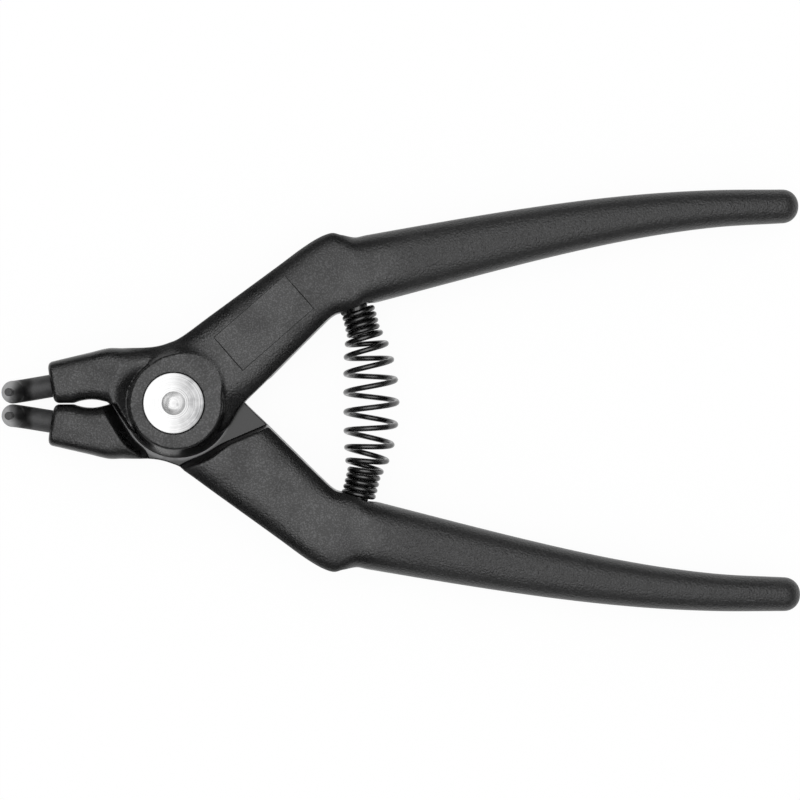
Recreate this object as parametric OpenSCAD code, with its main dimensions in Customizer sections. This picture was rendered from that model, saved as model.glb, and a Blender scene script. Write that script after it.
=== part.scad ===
// Circlip pliers for external rings, with tips bent through a right angle.
// Two equal forged levers lap at a flush rivet, and one is the other turned over.
// Squeezing the handles spreads the tips, and a waisted spring closes them again.
// The origin is on the pivot axis at the rear boss face: +X to the handle ends,
// +Y to the upper handle, +Z to the front boss and the tip pins.

/* [Lap joint] */
// Thickness of one hub, from the lap plane to its boss face
lap_t = 4.8; // [4.6:0.1:6]
// Running gap between the two lap faces
lap_gap = 0.05; // [0.02:0.01:0.2]
// Diameter of the flat boss round the rivet
boss_d = 14.6; // [12:0.1:16]
// Diameter of the hub at the lap plane
hub_d = 17.6; // [16.6:0.1:19]
// Clearance from a hub to the shoulder of the other lever
hub_gap = 0.25; // [0.2:0.05:0.8]
// Draft of the shoulder wall beside the jaw in degrees
jaw_draft = 17; // [8:1:30]
// Draft of the shoulder wall beside the arm in degrees
arm_draft = 12; // [8:1:30]
// Squeeze that the shoulders leave room for in degrees
open_angle = 22; // [12:1:24]

/* [Pivot rivet] */
// Diameter of the shank
shank_d = 6; // [4.5:0.1:7]
// Diameter of both heads
head_d = 9.8; // [8.6:0.1:11]
// Thickness of each head
head_t = 1.2; // [0.8:0.1:1.8]
// Height of the front head over its boss
head_proud = 0.1; // [0.05:0.05:0.3]
// Diameter of the dome on the front head
dome_d = 3.9; // [2.5:0.1:5]
// Height of the dome
dome_h = 0.3; // [0.2:0.05:0.8]
// Radial clearance of the shank in the hubs
pivot_play = 0.04; // [0.01:0.01:0.1]
// Radial clearance of the heads in their counterbores
head_play = 0.12; // [0.05:0.01:0.25]
// Clearance under the front head
axial_play = 0.03; // [0.01:0.01:0.1]

/* [Jaws] */
// Length of the jaw from the pivot to the nose
jaw_len = 20; // [18.5:0.1:26]
// Height of the outer edge at the root of the jaw
jaw_root_h = 9; // [8:0.1:10]
// Height of the outer edge at the nose
jaw_nose_h = 6.9; // [6.4:0.1:8]
// Thickness of the jaw at its root
jaw_t = 8.4; // [7.4:0.1:9]
// Thickness of the jaw at the nose
nose_t = 7.4; // [6.8:0.1:8.4]
// Rounding of the nose
nose_round = 0.8; // [0.3:0.1:1]
// Gap between the closed jaws
jaw_gap = 0.2; // [0.1:0.05:0.5]
// Length of the lens-shaped relief between the jaws
relief_len = 5.8; // [3:0.1:6.4]
// Depth of the relief in each jaw
relief_h = 0.65; // [0.3:0.05:0.9]

/* [Arms] */
// Slope of the arm in degrees
arm_angle = 40.4; // [36:0.2:45]
// Length of the arm from the pivot to the elbow
arm_len = 26; // [23:0.5:34]
// Width of the arm at the pivot
arm_root_w = 16; // [15:0.1:17]
// Width of the arm at the elbow
arm_end_w = 12; // [10.5:0.1:13]
// Thickness of the arm
arm_t = 9.1; // [7.6:0.1:9.4]
// Length of the elbow along the arm
elbow_len = 11; // [9:0.1:14]
// Height of the knuckle over the arm's centre line
knuckle_rise = 4.5; // [3.8:0.1:5.2]
// Drop of the handle's root below the arm's centre line
elbow_drop = 3.4; // [2.6:0.1:4.2]

/* [Handles] */
// Length of the handle along X
handle_len = 71.2; // [55:0.2:100]
// Rise of the handle from its root to its end
handle_rise = 10.2; // [6:0.2:16]
// Slope of the handle at its root in degrees
handle_slope = 12.3; // [8:0.1:18]
// Width of the handle at its root
handle_root_w = 11.2; // [10:0.1:12.4]
// Width of the handle at its end
handle_end_w = 5.5; // [4.5:0.1:8]
// Thickness of the handle at its root
handle_root_t = 8.8; // [7.6:0.1:9.2]
// Thickness of the handle at its end
handle_end_t = 5.8; // [4.8:0.1:7.6]

/* [Tips] */
// Diameter of the tip rod
rod_d = 3.7; // [3:0.1:4.2]
// Distance from the nose to the pin axis along X
rod_out = 6.2; // [5:0.1:12]
// Slope of the rods towards each other in degrees
rod_slant = 9.5; // [4:0.5:11]
// Depth of the socket in the jaw
socket_len = 8; // [5:0.1:8.5]
// Radial fit of the rod in its socket
rod_fit = 0.02; // [0.01:0.01:0.05]
// Gap between the closed rods at the bend
tip_gap = 0.12; // [0.05:0.01:0.4]
// Inside radius of the bend
bend_inside_r = 0.8; // [0.5:0.1:2]
// Length of the taper above the bend
taper_len = 2.4; // [1.5:0.1:4]
// Diameter at the end of the taper
taper_d = 1.9; // [1.7:0.1:2.6]
// Diameter of the pin that enters the ring
pin_d = 1.3; // [0.9:0.1:1.6]
// Length of the pin
pin_len = 2.8; // [1.5:0.1:5]

/* [Spring] */
// Diameter of the wire
wire_d = 0.9; // [0.6:0.05:1.1]
// Mean diameter of the end coils
coil_end_d = 4.74; // [4.2:0.02:5.6]
// Mean diameter of the middle coil
coil_mid_d = 8.3; // [6:0.1:10]
// Close coils at each end
close_turns = 4; // [2:1:5]
// Open coils between them
open_turns = 9; // [6:1:10]
// Gap between the close coils
coil_gap = 0.08; // [0.06:0.01:0.2]
// Length of the pad that each spring stud stands on
pad_len = 6; // [5:0.1:7]
// Slope of that pad in degrees
pad_slope = 17; // [15:0.5:24]
// Depth of the spot face in the pad
seat_depth = 0.4; // [0.3:0.05:0.8]
// Margin of the spot face round the end coil
seat_margin = 0.25; // [0.1:0.05:0.5]
// Radial clearance of the stud in the end coils
guide_play = 0.2; // [0.18:0.01:0.35]
// Diameter of the stud's root in the handle
stud_root_d = 2.2; // [1.5:0.1:2.4]
// Length of the stud's root
stud_root_len = 4.5; // [2.5:0.1:6]
// Radial fit of the stud's root
stud_fit = 0.02; // [0.01:0.01:0.05]

/* [Hidden] */
$fn = 64;

// Facets of the lofted levers and of the spring wire
ring_sides = 28;
span_steps = 3;
wire_sides = 8;
turn_steps = 14;
arc_steps = 12;
cap_step = 30;

// Corner shape of the lever sections: 2 is an oval, higher is squarer
jaw_square = 4.4;
arm_square = 5.4;
elbow_square = 5;
handle_square = 3;
end_square = 2.3;

// Small edge breaks and cutter overruns
edge_break = 0.15;
overrun = 1;
small_step = 0.01;

hub_r = hub_d / 2;
recess_r = hub_r + hub_gap;
hub_half_t = jaw_t / 4 + arm_t / 4;
jaw_root_land = 1.8;

// Lap outline of the hub: swell beside the jaw and the arm, and dip below the hub wall
hub_swell = 0.45;
hub_dip = 3;
swell_from = 194;
swell_lag = 68.4;
swell_to = 360 + arm_angle - swell_lag;

// Outer edge over the hub, from the jaw to the arm
saddle_from = -8.4;
saddle_to = -1;
saddle_rise = 0.75;
saddle_power = 4;

// Arm frame: along its centre line and across to the outer edge
arm_along = [cos(arm_angle), sin(arm_angle)];
arm_across = [-sin(arm_angle), cos(arm_angle)];
arm_taper = (arm_root_w - arm_end_w) / 2 / arm_len;
arm_start = 8;
inner_slope = arm_angle + atan(arm_taper);

// Directions in which the recess leaves its arc, at the arm and at the jaw
recess_arm_at = 90 - inner_slope + open_angle;
recess_jaw_at = 148;
recess_reach = 45;

// Where the recess opens through the outer edge, past the end of the jaw's shoulder
recess_open_at = 123;
recess_open_r = 1.4 * recess_r;

// Point that the recess widens away from, which sets its two drafts
draft_sum = tan(jaw_draft) + tan(arm_draft);
draft_half = (recess_jaw_at - recess_arm_at) / 2;
draft_shift = recess_r * (tan(jaw_draft) - tan(arm_draft)) / draft_sum / sin(draft_half);
draft_from = polar(draft_shift, recess_arm_at + draft_half - 90);

// Handle frame and the curve of its centre line
handle_root = on_arm(arm_len + elbow_len, -elbow_drop);
handle_along = [cos(handle_slope), sin(handle_slope)];
handle_across = [-sin(handle_slope), cos(handle_slope)];
end_round = min(handle_end_w, handle_end_t) / 2 - edge_break;
handle_tip = handle_root + [handle_len - end_round, handle_rise];
root_pull = 0.42 * handle_len;
end_pull = 0.31 * handle_len;
handle_fall = 1.3;
handle_spans = 10;
handle_ease = 1.6;

// Tip rods: the pin axis, the bend and the socket along the rod
tip_y = rod_d / 2 + tip_gap / 2;
tip_reach = jaw_len + rod_out;
bend_r = rod_d / 2 + bend_inside_r;
nose_at = rod_out / cos(rod_slant);
rod_at_nose_y = tip_y + rod_out * tan(rod_slant);
throat_len = taper_d - pin_d;

// Spring pad: its seat on the spot face, and the axis into the gap
pad_along = [cos(pad_slope), sin(pad_slope)];
pad_axis = [sin(pad_slope), -cos(pad_slope)];
pad_from = handle_root - handle_across * handle_root_w / 2;
pad_steps = 3;
seat = pad_from - pad_along * pad_len / pad_steps - pad_axis * seat_depth;
seat_d = coil_end_d + wire_d + 2 * seat_margin;
guide_d = coil_end_d - wire_d - 2 * guide_play;
close_pitch = wire_d + coil_gap;
guide_len = (close_turns - 1) * close_pitch;

// Spring axis: an arc square to both seats
bow_r = seat.y / sin(pad_slope);
bow_centre = seat.x - bow_r * cos(pad_slope);
bow_len = 2 * bow_r * pad_slope * PI / 180;
wire_start = wire_d / 2 + edge_break / 2;
all_turns = 2 * close_turns + open_turns;
open_len = bow_len - 2 * wire_start - 2 * close_turns * close_pitch;
pitch_gain = (open_len / open_turns - close_pitch) * PI / 2;

function polar(r, a) = [r * cos(a), r * sin(a)];
function on_arm(d, off) = arm_along * d + arm_across * off;
function arm_half(d) = arm_root_w / 2 - arm_taper * d;
function mix(a, b, t) = a + (b - a) * t;
function signed_pow(v, p) = sign(v) * pow(abs(v), p);

// One section of a lever: outer edge, inner edge, half thickness, corner shape
function section(outer, inner, half_t, square) = [outer.x, outer.y, inner.x, inner.y, half_t, square];

// A section moved along dir and drawn in, as on a rounded end
function drawn_in(row, dir, r, u) =
    let (
        outer = [row[0], row[1]],
        inner = [row[2], row[3]],
        half = (outer - inner) / 2,
        kept = half * (1 - r * (1 - cos(u)) / norm(half)),
        centre = (outer + inner) / 2 + dir * r * sin(u)
    )
    section(centre + kept, centre - kept, row[4] - r * (1 - cos(u)), row[5]);

// The points of a section's outline, square to the lap plane
function section_ring(row) =
    let (centre = [row[0] + row[2], row[1] + row[3]] / 2, half = [row[0] - row[2], row[1] - row[3]] / 2)
    [for (k = [0 : ring_sides - 1])
        let (
            a = 360 * (k + 0.5) / ring_sides,
            p = centre + half * signed_pow(cos(a), 2 / row[5])
        )
        [p.x, p.y, row[4] * signed_pow(sin(a), 2 / row[5])]];

// A smooth curve through rows, with span_steps sections on each span
function through(a, b, c, d, t) =
    b + (c - a) * t / 2 + (2 * a - 5 * b + 4 * c - d) * t * t / 2 + (3 * b - a - 3 * c + d) * t * t * t / 2;
function smoothed(rows) =
    let (last = len(rows) - 1)
    [
        for (i = [0 : last - 1], j = [0 : span_steps - 1])
            through(
                i == 0 ? 2 * rows[0] - rows[1] : rows[i - 1],
                rows[i],
                rows[i + 1],
                i == last - 1 ? 2 * rows[last] - rows[last - 1] : rows[i + 2],
                j / span_steps
            ),
        rows[last]
    ];

// Faces of a skin over equal rings, closed at both ends
function skin_faces(rings, sides) = concat(
    [[for (k = [0 : sides - 1]) k]],
    [[for (k = [sides - 1 : -1 : 0]) (rings - 1) * sides + k]],
    [
        for (i = [0 : rings - 2], k = [0 : sides - 1], half = [0, 1])
            let (a = i * sides + k, b = i * sides + (k + 1) % sides)
            half == 0 ? [a, a + sides, b + sides] : [a, b + sides, b]
    ]
);

// Jaw sections, square to the tip rod at the nose and to the centre line at the root
jaw_root_x = -(recess_r + jaw_root_land);
jaw_nose_x = nose_round - jaw_len;
function nose_point(y) = [jaw_nose_x - (y - rod_at_nose_y) * tan(rod_slant), y];
jaw_nose = section(nose_point(jaw_nose_h), nose_point(jaw_gap / 2), nose_t / 2, jaw_square);
jaw_root = section([jaw_root_x, jaw_root_h], [jaw_root_x, jaw_gap / 2], jaw_t / 2, jaw_square);
jaw_rows = [for (k = [0 : 2]) mix(jaw_nose, jaw_root, k / 3), jaw_root];

// Hub sections, fanned round the pivot from the jaw to the arm
hub_spans = 4;
hub_rows = [
    for (k = [0 : hub_spans])
        let (t = k / hub_spans)
        section(
            [mix(saddle_from, saddle_to, t), jaw_root_h + saddle_rise * pow(t, saddle_power)],
            polar(hub_r + hub_swell - hub_dip * sin(180 * t), mix(swell_from, swell_to, t)),
            hub_half_t,
            mix(jaw_square, arm_square, t)
        )
];

// Arm sections, square to its centre line
arm_spans = 3;
arm_rows = [
    for (k = [0 : arm_spans])
        let (d = mix(arm_start, arm_len, k / arm_spans))
        section(on_arm(d, arm_half(d)), on_arm(d, -arm_half(d)), arm_t / 2, arm_square)
];

// Handle sections, square to the curved centre line
function bezier(a, b, c, d, t) =
    a * pow(1 - t, 3) + 3 * b * t * pow(1 - t, 2) + 3 * c * t * t * (1 - t) + d * pow(t, 3);
function handle_at(t) = bezier(
    handle_root, handle_root + handle_along * root_pull, handle_tip - [end_pull, 0], handle_tip, t
);
function handle_row(t) =
    let (
        ahead = handle_at(t + small_step) - handle_at(t - small_step),
        across = [-ahead.y, ahead.x] / norm(ahead),
        half = mix(handle_end_w, handle_root_w, pow(1 - t, handle_fall)) / 2
    )
    section(
        handle_at(t) + across * half,
        handle_at(t) - across * half,
        mix(handle_root_t, handle_end_t, t) / 2,
        mix(handle_square, end_square, t)
    );
handle_rows = [for (k = [1 : handle_spans]) handle_row(pow(k / handle_spans, handle_ease))];

// Elbow sections: the knuckle outside, the spring pad inside
pad_root = section(
    handle_root + handle_across * handle_root_w / 2,
    pad_from,
    handle_root_t / 2,
    mix(elbow_square, handle_square, 0.5)
);
knuckle = on_arm(arm_len + elbow_len, knuckle_rise);
knuckle_foot = arm_len + elbow_len * 2 / 3;
elbow_outer = [
    on_arm(knuckle_foot, arm_half(knuckle_foot)),
    knuckle,
    mix(knuckle, [pad_root[0], pad_root[1]], 0.5)
];
elbow_rows = [
    for (k = [0 : pad_steps - 1])
        section(
            elbow_outer[k],
            pad_from - pad_along * pad_len * (pad_steps - k) / pad_steps,
            mix(arm_t, handle_root_t, k / pad_steps) / 2,
            elbow_square
        ),
    pad_root
];

// The forged blank of one lever, as a skin over all its sections
module lever_blank() {
    body = smoothed(concat(jaw_rows, hub_rows, arm_rows, elbow_rows, handle_rows));
    nose_dir = -[cos(rod_slant), sin(rod_slant)];
    rows = concat(
        [for (u = [90 : -cap_step : cap_step]) drawn_in(body[0], nose_dir, nose_round, u)],
        body,
        [for (u = [cap_step : cap_step : 90]) drawn_in(body[len(body) - 1], [1, 0], end_round, u)]
    );
    polyhedron([for (row = rows) each section_ring(row)], skin_faces(len(rows), ring_sides), convexity = 6);
    cylinder(h = lap_t, r1 = hub_r, r2 = boss_d / 2);
}

// Room for the other lever: a lap face with shoulder walls that all keep recess_r,
// open through the outer edge between the two shoulders
module lap_recess() {
    depth = lap_t + overrun;
    arm_end = polar(recess_r, recess_arm_at) + polar(recess_reach, recess_arm_at - 90);
    arm_mouth = polar(recess_r, recess_arm_at) + polar(recess_r, recess_arm_at + 90);
    jaw_end = polar(recess_r, recess_jaw_at) + polar(recess_reach, recess_jaw_at + 90);
    translate([0, 0, lap_gap / 2])
        mirror([0, 0, 1])
            translate(draft_from)
                linear_extrude(height = depth, scale = 1 + depth * draft_sum / 2 / recess_r)
                    translate(-draft_from)
                        polygon([
                            arm_end,
                            arm_mouth,
                            polar(recess_open_r, recess_open_at),
                            for (k = [0 : arc_steps])
                                polar(recess_r, mix(recess_open_at, recess_jaw_at, k / arc_steps)),
                            jaw_end
                        ]);
}

// Bore for the rivet shank, with a counterbore of the given depth in the boss
module rivet_hole(depth) {
    translate([0, 0, -overrun])
        cylinder(h = lap_t + 2 * overrun, d = shank_d + 2 * pivot_play);
    translate([0, 0, lap_t - depth])
        cylinder(h = depth + overrun, d = head_d + 2 * head_play);
}

// Places a tip's own frame: pin axis upright at its origin, rod along +X
module at_tip() {
    translate([-tip_reach, tip_y, 0])
        rotate([0, 0, rod_slant])
            children();
}

// Blind socket for the tip rod, open at the nose
module tip_socket() {
    at_tip()
        translate([nose_at - overrun, 0, 0])
            rotate([0, 90, 0])
                cylinder(h = socket_len + overrun, d = rod_d + 2 * rod_fit);
}

// Half of the lens between the jaws
module jaw_relief() {
    chord = relief_len / 2;
    rise = relief_h - jaw_gap / 2;
    r = (chord * chord + rise * rise) / (2 * rise);
    intersection() {
        translate([jaw_root_x - chord, relief_h - r, -jaw_t])
            cylinder(h = 2 * jaw_t, r = r);
        translate([jaw_root_x - relief_len - overrun, 0, -jaw_t])
            cube([relief_len + 2 * overrun, relief_h + overrun, 2 * jaw_t]);
    }
}

// Places a stud's own frame: seat at its origin, guide along +Z
module at_seat() {
    translate([seat.x, seat.y, 0])
        rotate([0, 90, -90 + pad_slope])
            children();
}

// Spot face and hole for a spring stud
module stud_hole() {
    at_seat() {
        cylinder(h = seat_depth + overrun, d = seat_d);
        translate([0, 0, -stud_root_len - stud_fit])
            cylinder(h = stud_root_len + overrun, d = stud_root_d + 2 * stud_fit);
    }
}

// One finished lever, with its boss face up
module lever(counterbore) {
    difference() {
        lever_blank();
        lap_recess();
        rivet_hole(counterbore);
        tip_socket();
        jaw_relief();
        stud_hole();
    }
}

// A bent tip: rod, quarter bend, taper and pin
module tip() {
    at_tip() {
        translate([bend_r, 0, 0])
            rotate([0, 90, 0])
                cylinder(h = nose_at + socket_len - bend_r - rod_fit, d = rod_d);
        translate([bend_r, 0, bend_r])
            rotate([90, 0, 0])
                rotate([0, 0, 180])
                    rotate_extrude(angle = 90)
                        translate([bend_r, 0])
                            circle(d = rod_d);
        translate([0, 0, bend_r])
            rotate_extrude()
                polygon([
                    [0, 0],
                    [rod_d / 2, 0],
                    [taper_d / 2, taper_len],
                    [pin_d / 2, taper_len + throat_len],
                    [pin_d / 2, taper_len + throat_len + pin_len - edge_break],
                    [pin_d / 2 - edge_break, taper_len + throat_len + pin_len],
                    [0, taper_len + throat_len + pin_len]
                ]);
    }
}

// A spring stud: guide inside the end coils, root in the handle
module spring_stud() {
    at_seat()
        rotate_extrude()
            polygon([
                [0, -stud_root_len],
                [stud_root_d / 2, -stud_root_len],
                [stud_root_d / 2, 0],
                [guide_d / 2, 0],
                [guide_d / 2, guide_len - 2 * edge_break],
                [guide_d / 2 - 2 * edge_break, guide_len],
                [0, guide_len]
            ]);
}

// Place of the coil's centre along the axis, after some turns of the wire
function coil_run(turns) =
    let (open = min(max(turns - close_turns, 0), open_turns))
    wire_start + close_pitch * turns + pitch_gain * open_turns / PI * (1 - cos(180 * open / open_turns));
function coil_r(turns) =
    let (open = min(max(turns - close_turns, 0), open_turns))
    mix(coil_end_d, coil_mid_d, sin(180 * open / open_turns)) / 2;

// Outward direction round the spring axis, and a point on the wire's centre line
function coil_out(turns) =
    let (a = pad_slope - coil_run(turns) / bow_r * 180 / PI, turn = 360 * (turns - all_turns / 2))
    [cos(a) * cos(turn), sin(a) * cos(turn), sin(turn)];
function coil_axis(turns) =
    let (a = pad_slope - coil_run(turns) / bow_r * 180 / PI)
    [bow_centre + bow_r * cos(a), bow_r * sin(a), 0];
function coil_point(turns) = coil_axis(turns) + coil_out(turns) * coil_r(turns);
function coil_ring(turns) =
    let (
        ahead = coil_point(turns + small_step) - coil_point(turns - small_step),
        out = coil_out(turns),
        side = cross(ahead, out) / norm(cross(ahead, out))
    )
    [for (k = [0 : wire_sides - 1])
        coil_point(turns) + polar(wire_d / 2, 360 * k / wire_sides) * [out, side]];

// Lifts the joint so that the rear boss face lies on the ground plane
module at_joint() {
    translate([0, 0, lap_t])
        children();
}

module front_lever() {
    color("dimgray")
        at_joint()
            lever(head_t - head_proud + axial_play);
}

module rear_lever() {
    color("dimgray")
        at_joint()
            rotate([180, 0, 0])
                lever(head_t);
}

module upper_tip() {
    color("slategray")
        at_joint()
            tip();
}

module lower_tip() {
    color("slategray")
        at_joint()
            mirror([0, 1, 0])
                tip();
}

module pivot_rivet() {
    head_top = lap_t + head_proud;
    tail_face = -lap_t;
    dome_r = (dome_d * dome_d / 4 + dome_h * dome_h) / (2 * dome_h);
    dome_span = asin(dome_d / 2 / dome_r);
    color("gainsboro")
        at_joint()
            rotate_extrude()
                polygon([
                    [0, tail_face],
                    [head_d / 2 - edge_break, tail_face],
                    [head_d / 2, tail_face + edge_break],
                    [head_d / 2, tail_face + head_t],
                    [shank_d / 2, tail_face + head_t],
                    [shank_d / 2, head_top - head_t],
                    [head_d / 2, head_top - head_t],
                    [head_d / 2, head_top - edge_break],
                    [head_d / 2 - edge_break, head_top],
                    for (k = [0 : arc_steps / 2])
                        let (a = dome_span * (1 - 2 * k / arc_steps))
                        [dome_r * sin(a), head_top + dome_h - dome_r * (1 - cos(a))]
                ]);
}

module return_spring() {
    rings = all_turns * turn_steps;
    color("black")
        at_joint()
            polyhedron(
                [for (i = [0 : rings]) each coil_ring(i / turn_steps)],
                skin_faces(rings + 1, wire_sides),
                convexity = 20
            );
}

module upper_spring_stud() {
    color("black")
        at_joint()
            spring_stud();
}

module lower_spring_stud() {
    color("black")
        at_joint()
            rotate([180, 0, 0])
                spring_stud();
}

front_lever();
rear_lever();
upper_tip();
lower_tip();
pivot_rivet();
return_spring();
upper_spring_stud();
lower_spring_stud();
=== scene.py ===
"""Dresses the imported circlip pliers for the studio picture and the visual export.

The forged levers, the bent tips, the rivet, the spring and its studs are made again as finer
meshes in the places that the CAD model gives them. Sizes are in millimetres in the joint's own
frame, with the pivot axis at the origin and the lap plane at height zero, until a mesh is made.
"""

import logging
import math
from dataclasses import dataclass
from enum import Enum
from functools import partial, reduce
from typing import Any, Iterable, Sequence

import bpy
import numpy as np
import openvdb as vdb
from mathutils import Euler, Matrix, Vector


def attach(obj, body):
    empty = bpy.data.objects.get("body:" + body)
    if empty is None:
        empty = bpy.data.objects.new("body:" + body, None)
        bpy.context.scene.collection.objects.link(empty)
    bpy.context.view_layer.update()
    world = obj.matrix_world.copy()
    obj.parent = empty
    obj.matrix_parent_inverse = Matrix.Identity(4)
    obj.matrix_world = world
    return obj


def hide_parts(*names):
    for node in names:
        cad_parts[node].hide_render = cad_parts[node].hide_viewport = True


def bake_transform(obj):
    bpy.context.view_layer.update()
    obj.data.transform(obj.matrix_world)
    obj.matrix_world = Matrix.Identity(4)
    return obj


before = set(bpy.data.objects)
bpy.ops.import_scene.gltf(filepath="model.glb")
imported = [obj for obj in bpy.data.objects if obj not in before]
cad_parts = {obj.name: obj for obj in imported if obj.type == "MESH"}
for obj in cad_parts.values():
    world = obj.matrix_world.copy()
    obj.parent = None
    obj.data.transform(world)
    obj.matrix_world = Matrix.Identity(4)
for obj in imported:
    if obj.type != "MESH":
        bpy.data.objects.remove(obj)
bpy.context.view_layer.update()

LOG = logging.getLogger("pliers")
MM = 0.001
CORNERS = ((-1, -1), (1, -1), (1, 1), (-1, 1))
WHITE = (1.0, 1.0, 1.0, 1.0)
Pair = tuple[float, float]
Rgb = tuple[float, float, float]
Band = tuple[float, float, float, float]
Spot = tuple[float, float, float]
Box = tuple[Spot, Spot]


class Body(str, Enum):
    """The two bodies of the hinge."""

    FRONT = "front"
    REAR = "rear"


class Slot(str, Enum):
    """Material slots of the record."""

    FORGED = "forged_black"
    TIP = "tip_steel"
    TURNED = "turned_steel"
    SPRING = "spring_black"


@dataclass(frozen=True)
class Joint:
    """Sizes that two or more of the pieces share."""

    lap_t: float = 4.8
    lap_gap: float = 0.05
    hub_r: float = 8.8
    recess_r: float = 9.05
    open_angle: float = 22.0
    head_d: float = 9.8
    head_t: float = 1.2
    head_proud: float = 0.1
    head_play: float = 0.03
    shank_d: float = 6.0
    rod_out: float = 6.2
    rod_slant: float = 9.5
    tip_y: float = 1.91

    def placed(self, points: np.ndarray, turned: bool = False) -> np.ndarray:
        """Points of the joint's frame in the row frame, in metres.

        Args:
            points: Places in millimetres, one row each.
            turned: Whether the piece is the rear one, turned over about X.

        Returns:
            The same places in metres.
        """
        flip = np.array([1.0, -1.0, -1.0]) if turned else np.ones(3)
        return (points * flip + np.array([0.0, 0.0, self.lap_t])) * MM


JOINT = Joint()


def polar(r: float, degrees: float) -> np.ndarray:
    """A point of the lap plane at a radius and an angle."""
    a = math.radians(degrees)
    return np.array([r * math.cos(a), r * math.sin(a)])


def mix(a: Any, b: Any, t: Any) -> Any:
    """The value between a and b at the share t."""
    return a + (b - a) * t


def part_way(value: Any, edges: Pair) -> Any:
    """How far a value lies between two edges, from nought to one."""
    low, high = edges
    return np.clip((value - low) / (high - low), 0, 1)


def along(x: np.ndarray, y: np.ndarray, direction: np.ndarray) -> np.ndarray:
    """Distance along a direction of the lap plane."""
    return direction[0] * x + direction[1] * y


def soft_max(a: np.ndarray, b: np.ndarray, k: Any) -> np.ndarray:
    """The larger of two distances, rounded where they meet.

    Args:
        a: First distances.
        b: Second distances.
        k: Width of the rounding.

    Returns:
        The rounded maximum.
    """
    near = np.maximum(k - np.abs(a - b), 0.0) / k
    return np.maximum(a, b) + near * near * k / 4


def soft_min(a: np.ndarray, b: np.ndarray, k: Any) -> np.ndarray:
    """The smaller of two distances, filleted where they meet."""
    return -soft_max(-a, -b, k)


def skin(rings: np.ndarray) -> tuple[np.ndarray, np.ndarray, np.ndarray]:
    """A closed skin over equal rings, with a fan on each end.

    Args:
        rings: Array of rings, sides and coordinates.

    Returns:
        Points, quads and triangles.
    """
    count, sides, _ = rings.shape
    ends = [rings[0].mean(axis=0), rings[-1].mean(axis=0)]
    points = np.concatenate([rings.reshape(-1, 3), ends])
    k = np.arange(sides)
    ahead = (k + 1) % sides
    last = (count - 1) * sides
    starts = range(0, last, sides)
    quads = [np.stack([i + k, i + sides + k, i + sides + ahead, i + ahead], 1) for i in starts]
    first_fan = np.stack([np.full(sides, len(points) - 2), k, ahead], 1)
    last_fan = np.stack([np.full(sides, len(points) - 1), last + ahead, last + k], 1)
    return points, np.concatenate(quads), np.concatenate([first_fan, last_fan])


def plain_mesh(name: str, points: np.ndarray, *polygons: np.ndarray) -> bpy.types.Mesh:
    """A smooth mesh with its faces turned outwards.

    Args:
        name: Name of the mesh.
        points: Places in metres.
        polygons: Arrays of faces with equal numbers of corners.

    Returns:
        The mesh.
    """
    mesh = bpy.data.meshes.new(name)
    faces = [face for group in polygons for face in group.tolist()]
    mesh.from_pydata(points.tolist(), [], faces)
    corners = points[np.concatenate([group[:, :3] for group in polygons])]
    if np.einsum("ij,ij->", corners[:, 0], np.cross(corners[:, 1], corners[:, 2])) < 0:
        mesh.flip_normals()
    mesh.polygons.foreach_set("use_smooth", np.ones(len(mesh.polygons), bool))
    mesh.update()
    return mesh


def shown(name: str, mesh: bpy.types.Mesh) -> bpy.types.Object:
    """A new object at the origin, in the scene.

    Args:
        name: Name of the object.
        mesh: Its mesh.

    Returns:
        The object.
    """
    piece = bpy.data.objects.new(name, mesh)
    bpy.context.scene.collection.objects.link(piece)
    return piece


def settle(piece: bpy.types.Object) -> None:
    """Turns a piece and its modifiers into a plain mesh.

    Args:
        piece: The object, whose modifiers are removed.
    """
    bpy.context.view_layer.update()
    graph = bpy.context.evaluated_depsgraph_get()
    mesh = bpy.data.meshes.new_from_object(piece.evaluated_get(graph))
    piece.modifiers.clear()
    old, piece.data = piece.data, mesh
    mesh.name = piece.name
    bpy.data.meshes.remove(old)


def hand_over(
    piece: bpy.types.Object, material: bpy.types.Material, node: str
) -> None:
    """Gives a finished piece its finish and hides the CAD node that it stands for.

    Args:
        piece: The finished object.
        material: The finish.
        node: Name of the CAD node.
    """
    piece.data.materials.clear()
    piece.data.materials.append(material)
    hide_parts(node)
    piece.data.calc_loop_triangles()
    count = len(piece.data.loop_triangles)
    LOG.info("%s stands for %s with %d triangles", piece.name, node, count)


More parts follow.
